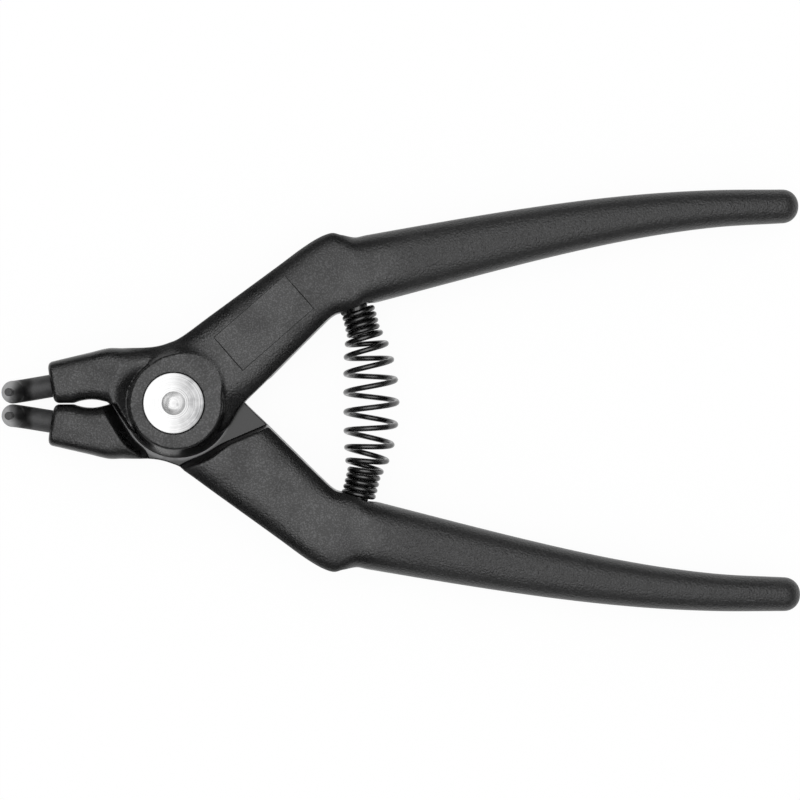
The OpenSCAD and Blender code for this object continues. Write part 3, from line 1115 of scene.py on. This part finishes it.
    def drawn_in(self, row: np.ndarray, ahead: np.ndarray, r: float, turn: float) -> np.ndarray:
        """A section moved ahead and drawn in, as on a rounded end.

        Args:
            row: The section at the start of the rounding.
            ahead: Direction in which it moves.
            r: Radius of the rounding.
            turn: How far round it lies, in radians.

        Returns:
            The section.
        """
        outer, inner = row[:2], row[2:4]
        lost = r * (1 - math.cos(turn))
        half = (outer - inner) / 2
        kept = half * (1 - lost / np.linalg.norm(half))
        centre = (outer + inner) / 2 + ahead * r * math.sin(turn)
        return self.section(centre + kept, centre - kept, row[4] - lost, row[5], row[6])

    def relieved(self, row: np.ndarray) -> np.ndarray:
        """A section whose inner edge follows the lens between the jaws.

        Args:
            row: The plain section.

        Returns:
            The same section, or a copy with its inner edge moved.
        """
        chord, rise = self.relief_len / 2, self.relief_h - self.jaw_gap / 2
        bow = (chord * chord + rise * rise) / (2 * rise)
        off = row[2] + JOINT.recess_r + self.jaw_root_land + chord
        if abs(off) < chord:
            row = row.copy()
            row[3] = max(row[3], self.relief_h - bow + math.sqrt(bow * bow - off * off))
        return row

    def blank(self) -> tuple[np.ndarray, np.ndarray, np.ndarray]:
        """The forged blank as a skin over all its sections.

        Returns:
            Points, quads and triangles.
        """
        front = self.jaw_rows() + self.hub_rows() + self.arm_rows()
        given = front + self.elbow_rows() + self.handle_rows()
        body = [self.relieved(row) for row in self.smoothed(given)]
        turns = np.radians(np.arange(1, self.end_steps + 1) * 90 / self.end_steps)
        out, off = -polar(1, JOINT.rod_slant), np.array([1.0, 0.0])
        nose = [self.drawn_in(body[0], out, self.nose_round, u) for u in turns[::-1]]
        end = [self.drawn_in(body[-1], off, self.end_round, u) for u in turns]
        rows = np.array(nose + body + end)
        outer, inner, half_t, square, trim = np.split(rows, (2, 4, 5, 6), axis=1)
        a = 2 * np.pi * (np.arange(self.sides) + 0.5) / self.sides
        power = 2 / square
        across = np.sign(np.cos(a)) * np.abs(np.cos(a)) ** power * trim
        up = np.sign(np.sin(a)) * np.abs(np.sin(a)) ** power
        centre, half = (outer + inner) / 2, (outer - inner) / 2
        flat = centre[:, None, :] + half[:, None, :] * np.clip(across, -1.0, 1.0)[..., None]
        return skin(np.concatenate([flat, (half_t * up)[..., None]], axis=2))

    def from_hub(self, x: np.ndarray, y: np.ndarray) -> np.ndarray:
        """Distance from the middle of the hub, which is a little off the rivet."""
        return np.sqrt((x - self.hub_at[0]) ** 2 + (y - self.hub_at[1]) ** 2)

    def cut_slope(self, solid: Carving) -> None:
        """Slopes the root of the jaw down to the boss.

        Args:
            solid: The lever so far.
        """
        where, x, y, z = solid.window(*self.slope_box)
        bearing = np.where(y > 0, np.degrees(np.arctan2(y, x)), 180.0)
        fade = 1 - part_way(bearing, self.slope_fade)
        turn = math.radians(self.root_slope)
        rise = (self.from_hub(x, y) - self.slope_r) * math.tan(turn)
        foot = self.jaw_t / 2 + rise + self.slope_lift * fade
        solid.cut(where, (foot - z) * math.cos(turn), self.slope_round)

    def cut_flank(self, solid: Carving) -> None:
        """Slopes the inner edge of the arm where it nears the boss.

        Args:
            solid: The lever so far.
        """
        where, x, y, z = solid.window(*self.flank_box)
        inward = along(x, y, -self.arm_across)
        run = part_way(along(x, y, self.arm_along), self.flank_run)
        turn = math.radians(self.flank_slope)
        top = self.arm_t / 2 - (inward - mix(*self.flank_from, run)) * math.tan(turn)
        solid.cut(where, (top - z) * math.cos(turn), self.slope_round)

    def add_hub(self, solid: Carving) -> None:
        """Raises the boss, with a drafted wall down to the lap.

        Args:
            solid: The lever so far.
        """
        where, x, y, z = solid.window(*self.hub_box)
        r = self.from_hub(x, y)
        lean = (self.hub_foot_r - self.boss_top_r) / JOINT.lap_t
        wall = (r - self.hub_foot_r + lean * z) / math.hypot(1, lean)
        face = z - JOINT.lap_t
        toward = along(x, y, polar(1, self.smooth_at)) / np.maximum(r, 1.0)
        gain, start = self.smooth_fade
        boss_fillet = mix(*self.boss_fillets, np.clip(gain * toward - start, 0, 1))
        fillet = mix(self.lap_fillet, boss_fillet, part_way(z, self.fillet_from))
        hub = np.maximum(soft_max(wall, face + 0 * wall, self.boss_edge), -z)
        solid.unite(where, hub, fillet)
        solid.cut(where, -face + 0 * r, self.face_round)

    def cut_lap(self, solid: Carving) -> None:
        """Cuts the lap face and the drafted shoulder walls.

        Args:
            solid: The lever so far.
        """
        where, x, y, z = solid.window(*self.lap_box)
        lap = JOINT.lap_gap / 2
        drop = np.maximum(lap - z, 0.0)
        drafts = (self.jaw_draft, self.arm_draft, self.bay_draft)
        jaw_run, arm_run, bay_run = (math.tan(math.radians(a)) for a in drafts)
        taper = math.degrees(math.atan(self.arm_taper))
        arm_at = 90 - self.arm_angle - taper + JOINT.open_angle
        arm = along(x, y, polar(1, arm_at)) - JOINT.recess_r - drop * arm_run
        bay = self.from_hub(x, y) - self.bay_r - drop * bay_run
        tip_r, tip_at = self.bay_tip
        tip = along(x, y, polar(1, tip_at)) - tip_r - drop * bay_run
        arm = soft_min(soft_min(arm, bay, self.bay_round), tip, self.bay_round)
        on_arc = (np.degrees(np.arctan2(y, x)) < self.recess_jaw_at) & (y > 0)
        straight = along(x, y, polar(1, self.recess_jaw_at))
        reach = np.where(on_arc, np.sqrt(x * x + y * y), straight)
        jaw = reach - JOINT.recess_r - drop * jaw_run
        end_r = JOINT.recess_r * math.cos(math.radians(self.recess_end_turn))
        end_at = self.recess_open_at + self.recess_end_turn
        end = along(x, y, polar(1, end_at)) - end_r - drop * bay_run
        walls = np.maximum(arm, soft_min(jaw, end, self.recess_corner))
        room = soft_max(walls, z - lap + 0 * walls, self.lap_corner)
        rounding = mix(*self.shoulder_rounds, part_way(-z, self.shoulder_from))
        solid.cut(where, room, rounding + 0 * room)

    def cut_edge(self, solid: Carving) -> None:
        """Straightens the edge from the jaw gap to the hub, clear of the other lever's shoulder.

        Args:
            solid: The lever so far.
        """
        where, x, y, z = solid.window(*self.edge_box)
        n = polar(1, -self.recess_jaw_at)
        reach = self.edge_reach - z * math.tan(math.radians(self.edge_draft))
        beyond = np.maximum(reach - n[0] * x - n[1] * y, y + self.jaw_gap / 2)
        solid.cut(where, beyond, self.edge_round)

    def cut_bore(self, solid: Carving) -> None:
        """Cuts the rivet's bore and the seat of its head.

        Args:
            solid: The lever so far.
        """
        where, x, y, z = solid.window(*self.bore_box)
        r = np.sqrt(x * x + y * y)
        bore = r - (JOINT.shank_d / 2 + self.bore_play) + 0 * z
        head_r = JOINT.head_d / 2 + JOINT.head_play
        head = np.maximum(r - head_r, JOINT.lap_t - JOINT.head_t - z)
        solid.cut(where, np.minimum(bore, head), self.bore_round)

    def cut_socket(self, solid: Carving) -> None:
        """Cuts the socket of the tip, with a wider mouth.

        Args:
            solid: The lever so far.
        """
        where, x, y, z = solid.window(*self.socket_box)
        axis, across = polar(1, JOINT.rod_slant), polar(1, JOINT.rod_slant + 90)
        px, py = x + self.jaw_len + JOINT.rod_out, y - JOINT.tip_y
        run = along(px, py, axis)
        off = np.sqrt(along(px, py, across) ** 2 + z * z)
        start = JOINT.rod_out / axis[0]
        hole = np.maximum(off - self.rod_r, run - (start + self.socket_len))
        deep, wide = self.mouth
        mouth = np.maximum(run - start - deep, off - self.rod_r - wide)
        solid.cut(where, np.minimum(hole, mouth), self.mouth_round)

    def cut_seat(self, solid: Carving) -> None:
        """Cuts the spot face and the hole of the spring stud.

        Args:
            solid: The lever so far.
        """
        out, up = self.seat_reach
        low, high = (*(self.seat - out), -up), (*(self.seat + out), up)
        where, x, y, z = solid.window(low, high)
        px, py = x - self.seat[0], y - self.seat[1]
        run = along(px, py, self.pad_axis)
        off = np.sqrt(along(px, py, self.pad_along) ** 2 + z * z)
        spot = np.maximum(off - self.seat_r, -run)
        hole = np.maximum(off - self.stud_root_r, -run - self.stud_root_len)
        solid.cut(where, np.minimum(spot, hole), self.seat_round)

    def carve(self) -> tuple[np.ndarray, np.ndarray]:
        """The finished lever in the joint's frame, boss face up.

        Returns:
            Points in millimetres and quads.
        """
        solid = Carving(*self.blank(), self.voxel, self.band)
        self.cut_slope(solid)
        self.cut_flank(solid)
        self.add_hub(solid)
        self.cut_lap(solid)
        self.cut_edge(solid)
        self.cut_bore(solid)
        self.cut_socket(solid)
        self.cut_seat(solid)
        return solid.surface()

    def cut_field(self, piece: bpy.types.Object) -> None:
        """Sinks the shallow rectangular field into the front arm.

        Args:
            piece: The front lever.
        """
        length, width = self.field_size
        ahead, across = polar(1, self.field_turn), polar(1, self.field_turn + 90)
        floor = JOINT.lap_t + self.arm_t / 2 - self.field_depth
        rise, flare = self.field_flare
        rings = []
        for height, grow in ((floor, 0.0), (floor + rise, flare)):
            corners = [(i * (length / 2 + grow), j * (width / 2 + grow)) for i, j in CORNERS]
            turned = [ahead * a + across * b for a, b in corners]
            rings.append([[*(np.array(self.field_at) + p), height] for p in turned])
        points, quads, fans = skin(np.array(rings))
        cutter = shown("field_cutter", plain_mesh("field_cutter", points * MM, quads, fans))
        modifier = piece.modifiers.new("field", "BOOLEAN")
        modifier.operation, modifier.solver, modifier.object = "DIFFERENCE", "EXACT", cutter
        settle(piece)
        old = cutter.data
        bpy.data.objects.remove(cutter)
        bpy.data.meshes.remove(old)

    def build(self) -> None:
        """Makes both levers and hands them over."""
        points, quads = self.carve()
        name = "front_lever_forging"
        front = shown(name, plain_mesh(name, JOINT.placed(points), quads))
        thin = front.modifiers.new("thin", "DECIMATE")
        thin.ratio = min(1.0, self.most_triangles / (2 * len(quads)))
        thin.use_collapse_triangulate = True
        settle(front)
        rear_mesh = front.data.copy()
        flat = np.empty(3 * len(rear_mesh.vertices))
        rear_mesh.vertices.foreach_get("co", flat)
        places = flat.reshape(-1, 3) - np.array([0, 0, JOINT.lap_t * MM])
        rear_mesh.vertices.foreach_set("co", JOINT.placed(places / MM, turned=True).ravel())
        rear_mesh.update()
        rear = shown("rear_lever_forging", rear_mesh)
        self.cut_field(front)
        for piece, body, node in (
            (front, Body.FRONT, "front_lever"),
            (rear, Body.REAR, "rear_lever"),
        ):
            piece.data.set_sharp_from_angle(angle=math.radians(self.sharp))
            hand_over(piece, self.finish, node)
            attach(piece, body.value)


def lathe(profile: Sequence[Pair], sides: int) -> np.ndarray:
    """Rings of a turned piece about its own Z axis.

    Args:
        profile: Radius and height of each ring.
        sides: Points of a ring.

    Returns:
        Array of rings, sides and coordinates.
    """
    a = 2 * np.pi * np.arange(sides) / sides
    r, h = np.array(profile).T
    r, h = r[:, None], h[:, None]
    return np.stack([r * np.cos(a), r * np.sin(a), h + 0 * a], axis=2)


@dataclass
class TipPair:
    """The round steel tips, bent up at right angles and tapered to a pin."""

    finish: bpy.types.Material
    rod_r: float = 1.85
    tip_reach: float = 26.2
    socket_len: float = 7.98
    bend_r: float = 2.65
    taper_len: float = 2.4
    taper_r: float = 0.95
    pin_r: float = 0.65
    pin_len: float = 2.8
    edge: float = 0.15
    throat_curve: float = 1.4
    dimple: tuple[Pair, Pair] = ((0.0, 0.3), (-0.04, 0.1))
    rod_rings: int = 24
    bend_rings: int = 25
    taper_rings: int = 13
    throat_rings: int = 9
    pin_rings: int = 8
    sides: int = 56
    sharp: float = 40.0

    def path(self) -> list[Band]:
        """The rings along the tip, from the socket to the end of the pin.

        Returns:
            Run, rise, turn of the axis in degrees, and radius of each ring.
        """
        inner = JOINT.rod_out / math.cos(math.radians(JOINT.rod_slant)) + self.socket_len
        rows = [(inner, 0.0, 0.0, self.rod_r - self.edge)]
        for run in np.linspace(inner - self.edge, self.bend_r, self.rod_rings):
            rows.append((run, 0.0, 0.0, self.rod_r))
        for turn in np.linspace(0, 90, self.bend_rings)[1:]:
            u = math.radians(turn)
            run, rise = self.bend_r * (1 - math.sin(u)), self.bend_r * (1 - math.cos(u))
            rows.append((run, rise, turn, self.rod_r))
        upright = []
        for t in np.linspace(0, 1, self.taper_rings)[1:]:
            upright.append((self.bend_r + self.taper_len * t, mix(self.rod_r, self.taper_r, t)))
        neck, throat = self.bend_r + self.taper_len, self.taper_r - self.pin_r
        for u in np.radians(np.linspace(0, 90, self.throat_rings)[1:]):
            narrow = throat * (1 - math.sin(u)) ** self.throat_curve
            upright.append((neck + 2 * throat * math.sin(u), self.pin_r + narrow))
        foot = neck + 2 * throat
        top = foot + self.pin_len
        for rise in np.linspace(foot, top - self.edge, self.pin_rings)[1:]:
            upright.append((rise, self.pin_r))
        upright.append((top, self.pin_r - self.edge))
        upright += [(top + rise, r) for rise, r in self.dimple]
        return rows + [(0.0, rise, 90.0, r) for rise, r in upright]

    def rings(self) -> np.ndarray:
        """The tip's rings in the joint's frame, for the upper jaw.

        Returns:
            Array of rings, sides and coordinates.
        """
        a = 2 * np.pi * np.arange(self.sides) / self.sides
        ahead, across = polar(1, JOINT.rod_slant), polar(1, JOINT.rod_slant + 90)
        start = (-self.tip_reach, JOINT.tip_y)
        made = []
        for run, rise, turn, r in self.path():
            u = math.radians(turn)
            x = run + r * np.cos(a) * math.sin(u)
            z = rise + r * np.cos(a) * math.cos(u)
            y = r * np.sin(a)
            flat = [ahead[i] * x + across[i] * y + start[i] for i in (0, 1)]
            made.append(np.stack([*flat, z], 1))
        return np.array(made)

    def build(self) -> None:
        """Makes both tips and hands them over."""
        for name, node, body, side in (
            ("upper_bent_tip", "upper_tip", Body.FRONT, 1.0),
            ("lower_bent_tip", "lower_tip", Body.REAR, -1.0),
        ):
            points, quads, fans = skin(self.rings() * np.array([1.0, side, 1.0]))
            piece = shown(name, plain_mesh(name, JOINT.placed(points), quads, fans))
            piece.data.set_sharp_from_angle(angle=math.radians(self.sharp))
            hand_over(piece, self.finish, node)
            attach(piece, body.value)


@dataclass
class PivotRivet:
    """The rivet, with a turned front head, a small dome and a flush rear head."""

    finish: bpy.types.Material
    dome_r: float = 1.95
    dome_h: float = 0.3
    dome_foot: float = 0.08
    dome_start: float = 0.02
    dome_rings: int = 24
    edge: float = 0.07
    groove: float = 0.006
    groove_pitch: float = 0.3
    groove_step: float = 0.05
    tail_start: float = 0.2
    tail_rings: int = 12
    sides: int = 128
    sharp: float = 25.0

    def face(self, top: float) -> list[Pair]:
        """The turned face from its edge to the middle of the dome.

        Args:
            top: Height of the face.

        Returns:
            Radius and height of each ring.
        """
        head_r = JOINT.head_d / 2 - self.edge
        rows = []
        for r in np.arange(head_r, self.dome_r + self.dome_foot, -self.groove_step):
            wave = math.cos(2 * math.pi * (head_r - r) / self.groove_pitch)
            rows.append((float(r), top - self.groove * (1 - wave) / 2))
        ball = (self.dome_r**2 + self.dome_h**2) / (2 * self.dome_h)
        for a in np.linspace(math.asin(self.dome_r / ball), self.dome_start, self.dome_rings):
            rows.append((ball * math.sin(a), top + self.dome_h - ball * (1 - math.cos(a))))
        return rows

    def profile(self) -> list[Pair]:
        """The whole rivet from the rear head to the dome.

        Returns:
            Radius and height of each ring.
        """
        head_r, shank, head_t = JOINT.head_d / 2, JOINT.shank_d / 2, JOINT.head_t
        tail, top = -JOINT.lap_t, JOINT.lap_t + JOINT.head_proud
        flush = np.linspace(self.tail_start, head_r - self.edge, self.tail_rings)
        rows = [(float(r), tail) for r in flush]
        rows += [(head_r, tail + self.edge), (head_r, tail + head_t), (shank, tail + head_t)]
        rows += [(shank, top - head_t), (head_r, top - head_t), (head_r, top - self.edge)]
        return rows + self.face(top)

    def build(self) -> None:
        """Makes the rivet and hands it over."""
        points, quads, fans = skin(lathe(self.profile(), self.sides))
        mesh = plain_mesh("turned_rivet", JOINT.placed(points), quads, fans)
        piece = shown("turned_rivet", mesh)
        piece.data.set_sharp_from_angle(angle=math.radians(self.sharp))
        hand_over(piece, self.finish, "pivot_rivet")
        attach(piece, Body.REAR.value)


@dataclass
class SpringSeat:
    """Where the spring stands on its pads, and the bow of its axis."""

    seat_x: float
    seat_y: float
    pad_slope: float

    def __post_init__(self) -> None:
        """Works out the arc that is square to both seats."""
        slope = math.radians(self.pad_slope)
        self.bow_r = self.seat_y / math.sin(slope)
        self.bow_x = self.seat_x - self.bow_r * math.cos(slope)
        self.bow_len = 2 * self.bow_r * slope

    def axis_at(self, run: float) -> np.ndarray:
        """A point of the axis at a distance from the upper seat."""
        turn = self.pad_slope - math.degrees(run / self.bow_r)
        return np.array([self.bow_x, 0.0]) + polar(self.bow_r, turn)


@dataclass
class ReturnSpring:
    """The waisted compression spring, a wire along a coiled path."""

    finish: bpy.types.Material
    seat: SpringSeat
    wire_d: float = 0.9
    end_d: float = 4.74
    mid_d: float = 8.3
    close_turns: float = 4.0
    open_turns: float = 9.0
    coil_gap: float = 0.08
    wire_start: float = 0.525
    turn_points: int = 44
    wire_sides: int = 18
    sharp: float = 50.0

    def __post_init__(self) -> None:
        """Counts all the turns."""
        self.all_turns = 2 * self.close_turns + self.open_turns

    def inputs(self) -> dict[str, float]:
        """Named sizes of the tree.

        Returns:
            Lengths in metres, angles in radians, and numbers of turns.
        """
        pitch = self.wire_d + self.coil_gap
        open_len = self.seat.bow_len - 2 * self.wire_start - 2 * self.close_turns * pitch
        return {
            "Wire Radius": self.wire_d / 2 * MM,
            "End Coil Radius": self.end_d / 2 * MM,
            "Middle Coil Radius": self.mid_d / 2 * MM,
            "Close Turns": self.close_turns,
            "Open Turns": self.open_turns,
            "All Turns": self.all_turns,
            "Close Pitch": pitch * MM,
            "Pitch Gain": (open_len / self.open_turns - pitch) / 2 * self.open_turns * MM,
            "Wire Start": self.wire_start * MM,
            "Bow Radius": self.seat.bow_r * MM,
            "Bow Centre": self.seat.bow_x * MM,
            "Pad Slope": math.radians(self.seat.pad_slope),
            "Lap Height": JOINT.lap_t * MM,
        }

    def coil(self, graph: Graph, given: dict[str, Any], turns: Any) -> bpy.types.NodeSocket:
        """The place of a point of the wire.

        Args:
            graph: Where the nodes go.
            given: The tree's inputs by name.
            turns: Turns from the start of the wire to the point.

        Returns:
            The place's socket.
        """
        past = graph.math("SUBTRACT", turns, given["Close Turns"])
        past = graph.math("MINIMUM", graph.math("MAXIMUM", past, 0.0), given["Open Turns"])
        phase = graph.product(graph.math("DIVIDE", past, given["Open Turns"]), math.pi)
        slack = graph.math("SUBTRACT", 1.0, graph.math("COSINE", phase))
        spread = graph.product(given["Pitch Gain"], slack)
        run = graph.total(given["Wire Start"], graph.product(given["Close Pitch"], turns), spread)
        swell = graph.math("SUBTRACT", given["Middle Coil Radius"], given["End Coil Radius"])
        wave = graph.math("SINE", phase)
        radius = graph.math("MULTIPLY_ADD", wave, swell, given["End Coil Radius"])
        bowed = graph.math("DIVIDE", run, given["Bow Radius"])
        tilt = graph.math("SUBTRACT", given["Pad Slope"], bowed)
        off_middle = graph.math("SUBTRACT", turns, graph.product(given["All Turns"], 0.5))
        turn = graph.product(off_middle, 2 * math.pi)
        out, up = graph.math("COSINE", turn), graph.math("SINE", turn)
        reach = graph.math("MULTIPLY_ADD", radius, out, given["Bow Radius"])
        x = graph.math("MULTIPLY_ADD", reach, graph.math("COSINE", tilt), given["Bow Centre"])
        y = graph.product(reach, graph.math("SINE", tilt))
        z = graph.math("MULTIPLY_ADD", radius, up, given["Lap Height"])
        return graph.node("ShaderNodeCombineXYZ", {0: x, 1: y, 2: z}).outputs[0]

    def tree(self) -> bpy.types.NodeTree:
        """Geometry nodes that wind the wire.

        Returns:
            The tree.
        """
        tree = bpy.data.node_groups.new("wound_wire", "GeometryNodeTree")
        tree.interface.new_socket("Geometry", in_out="OUTPUT", socket_type="NodeSocketGeometry")
        for key in self.inputs():
            tree.interface.new_socket(key, in_out="INPUT", socket_type="NodeSocketFloat")
        graph = Graph(tree)
        given = {s.name: s for s in graph.node("NodeGroupInput").outputs if s.name}
        count = int(self.all_turns * self.turn_points)
        line = graph.node("GeometryNodeMeshLine", {"Count": count + 1})
        index = graph.node("GeometryNodeInputIndex").outputs[0]
        place = self.coil(graph, given, graph.product(index, given["All Turns"], 1 / count))
        made = graph.node("GeometryNodeMeshToCurve", {"Mesh": line.outputs["Mesh"]})
        round_wire = {"Resolution": self.wire_sides, "Radius": given["Wire Radius"]}
        ring = graph.node("GeometryNodeCurvePrimitiveCircle", round_wire).outputs["Curve"]
        for kind, entry, others in (
            ("GeometryNodeSetPosition", "Geometry", {"Position": place}),
            ("GeometryNodeCurveToMesh", "Curve", {"Profile Curve": ring, "Fill Caps": True}),
            ("GeometryNodeSetShadeSmooth", "Geometry", {}),
            ("GeometryNodeRealizeInstances", "Geometry", {}),
            ("GeometryNodeSetMaterial", "Geometry", {"Material": self.finish}),
            ("NodeGroupOutput", "Geometry", {}),
        ):
            made = graph.node(kind, {entry: made.outputs[0], **others})
        return tree

    def build(self) -> None:
        """Winds the spring along its bow between the levers."""
        piece = shown("wound_return_spring", bpy.data.meshes.new("wound_return_spring"))
        modifier = piece.modifiers.new("wind", "NODES")
        modifier.node_group = self.tree()
        sockets = modifier.node_group.interface.items_tree
        names = {s.name: s.identifier for s in sockets if s.in_out == "INPUT"}
        for key, value in self.inputs().items():
            modifier[names[key]] = value
        settle(piece)
        piece.data.set_sharp_from_angle(angle=math.radians(self.sharp))
        hand_over(piece, self.finish, "return_spring")
        ends = [self.seat.axis_at(run) for run in (0.0, self.seat.bow_len)]
        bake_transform(piece)


@dataclass
class SpringStuds:
    """The two studs that hold the spring's end coils."""

    finish: bpy.types.Material
    seat: SpringSeat
    guide_r: float = 1.72
    guide_len: float = 2.94
    root_r: float = 1.1
    root_len: float = 4.5
    core_r: float = 0.05
    edge: float = 0.08
    chamfer: float = 0.3
    chamfer_top: float = 0.12
    sides: int = 48
    sharp: float = 30.0

    def profile(self) -> list[Pair]:
        """The stud from its root to the end of its guide.

        Returns:
            Radius and height of each ring, from the spot face.
        """
        return [
            (self.core_r, -self.root_len),
            (self.root_r, -self.root_len),
            (self.root_r, 0.0),
            (self.guide_r - self.edge, 0.0),
            (self.guide_r, self.edge),
            (self.guide_r, self.guide_len - self.chamfer),
            (self.guide_r - self.edge, self.guide_len - self.chamfer_top),
            (self.guide_r - self.chamfer, self.guide_len),
            (self.core_r, self.guide_len),
        ]

    def build(self) -> None:
        """Makes both studs and hands them over."""
        rings = lathe(self.profile(), self.sides)
        axis, across = polar(1, self.seat.pad_slope - 90), polar(1, self.seat.pad_slope)
        foot = (self.seat.seat_x, self.seat.seat_y)
        x, y, h = rings[..., 0], rings[..., 1], rings[..., 2]
        flat = [axis[i] * h + across[i] * x + foot[i] for i in (0, 1)]
        points, quads, fans = skin(np.stack([*flat, y], axis=2))
        for name, node, body, turned in (
            ("upper_turned_stud", "upper_spring_stud", Body.FRONT, False),
            ("lower_turned_stud", "lower_spring_stud", Body.REAR, True),
        ):
            piece = shown(name, plain_mesh(name, JOINT.placed(points, turned), quads, fans))
            piece.data.set_sharp_from_angle(angle=math.radians(self.sharp))
            hand_over(piece, self.finish, node)
            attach(piece, body.value)


@dataclass
class Studio:
    """White floor, soft light from above, dark flags round the set, and the camera over it."""

    aim: Pair = (36.56, 0.34)
    roll: float = -0.27
    height: float = 500.0
    picture_w: float = 130.4
    sensor_w: float = 36.0
    clip: Pair = (0.01, 20.0)
    floor_size: float = 6.0
    floor_drop: float = 0.0001
    floor_grey: float = 0.95
    floor_glow: float = 0.95
    surround: float = 0.85
    flag_grey: float = 0.08
    flag_radius: float = 0.9
    flag_sides: int = 48
    flag_elevations: Pair = (6.0, 56.0)
    key_size: float = 0.9
    key_at: Spot = (-0.05, 0.05, 0.95)
    key_power: float = 2.3

    @staticmethod
    def seen(graph: Graph) -> bpy.types.NodeSocket:
        """One for camera, glossy and transmission rays.

        Args:
            graph: Where the nodes go.

        Returns:
            The mask's socket.
        """
        path = graph.node("ShaderNodeLightPath").outputs
        first = graph.math("MAXIMUM", path["Is Camera Ray"], path["Is Glossy Ray"])
        return graph.math("MAXIMUM", first, path["Is Transmission Ray"])

    def build_world(self) -> None:
        """A plain white surround."""
        world = bpy.data.worlds.new("white_surround")
        world.use_nodes = True
        back = world.node_tree.nodes["Background"]
        Graph(world.node_tree).feed(back, {"Color": WHITE, "Strength": self.surround})
        bpy.context.scene.world = world

    def build_floor(self) -> None:
        """A pale floor that keeps the object's shadow."""
        material = bpy.data.materials.new("white_floor")
        material.use_nodes = True
        graph = Graph(material.node_tree)
        nodes = material.node_tree.nodes
        nodes.remove(nodes["Principled BSDF"])
        grey = (*[self.floor_grey] * 3, 1.0)
        matt = graph.node("ShaderNodeBsdfDiffuse", {"Color": grey}).outputs[0]
        glow = graph.node("ShaderNodeEmission", {"Color": WHITE, "Strength": 1.0}).outputs[0]
        share = graph.product(self.seen(graph), self.floor_glow)
        both = graph.node("ShaderNodeMixShader", {0: share, 1: matt, 2: glow}).outputs[0]
        graph.put(nodes["Material Output"].inputs["Surface"], both)
        half = self.floor_size / 2
        corners = [(i * half, j * half, -self.floor_drop) for i, j in CORNERS]
        floor = shown("floor", bpy.data.meshes.new("floor"))
        floor.data.from_pydata(corners, [], [(0, 1, 2, 3)])
        floor.data.materials.append(material)

    def build_flags(self) -> None:
        """Dark cloth round the set, below the light."""
        material = bpy.data.materials.new("dark_flags")
        material.use_nodes = True
        shader = material.node_tree.nodes["Principled BSDF"]
        shader.inputs["Base Color"].default_value = (*[self.flag_grey] * 3, 1.0)
        shader.inputs["Roughness"].default_value = 1.0
        profile = [polar(self.flag_radius, elevation) for elevation in self.flag_elevations]
        rings = lathe(profile, self.flag_sides) + np.array([self.aim[0] * MM, 0.0, 0.0])
        _, quads, _ = skin(rings)
        flags = shown("dark_flags", bpy.data.meshes.new("dark_flags"))
        flags.data.from_pydata(rings.reshape(-1, 3).tolist(), [], quads.tolist())
        flags.data.materials.append(material)
        flags.visible_camera = flags.visible_diffuse = flags.visible_shadow = False

    def build_key(self) -> None:
        """A broad soft light overhead."""
        lamp = bpy.data.lights.new("overhead_softbox", "AREA")
        lamp.size = self.key_size
        lamp.energy = self.key_power
        key = bpy.data.objects.new("overhead_softbox", lamp)
        key.location = self.key_at
        bpy.context.scene.collection.objects.link(key)

    def build_camera(self) -> None:
        """The camera straight over the pliers."""
        data = bpy.data.cameras.new("camera")
        data.sensor_width = self.sensor_w
        data.lens = self.sensor_w * self.height / self.picture_w
        data.clip_start, data.clip_end = self.clip
        camera = bpy.data.objects.new("camera", data)
        camera.location = Vector((*self.aim, JOINT.lap_t + self.height)) * MM
        camera.rotation_euler = Euler((0.0, 0.0, math.radians(self.roll)))
        bpy.context.scene.collection.objects.link(camera)
        bpy.context.scene.camera = camera

    def build(self) -> None:
        """Sets up the studio."""
        self.build_camera()
        self.build_world()
        self.build_floor()
        self.build_flags()
        self.build_key()
        bpy.context.scene.view_settings.view_transform = "Standard"


def main() -> None:
    """Builds the studio and every piece of the pliers."""
    logging.basicConfig(level=logging.INFO, format="%(name)s: %(message)s")
    Studio().build()
    effects = Effects()
    black = SpringBlack("spring_black", effects).build()
    levers = LeverPair(ForgedBlack("forged_black", effects).build())
    levers.build()
    TipPair(TipSteel("tip_steel", effects).build()).build()
    PivotRivet(TurnedSteel("turned_steel", effects).build()).build()
    seat = SpringSeat(*levers.seat, levers.pad_slope)
    SpringStuds(black, seat).build()
    ReturnSpring(black, seat).build()


if __name__ == "__main__":
    main()
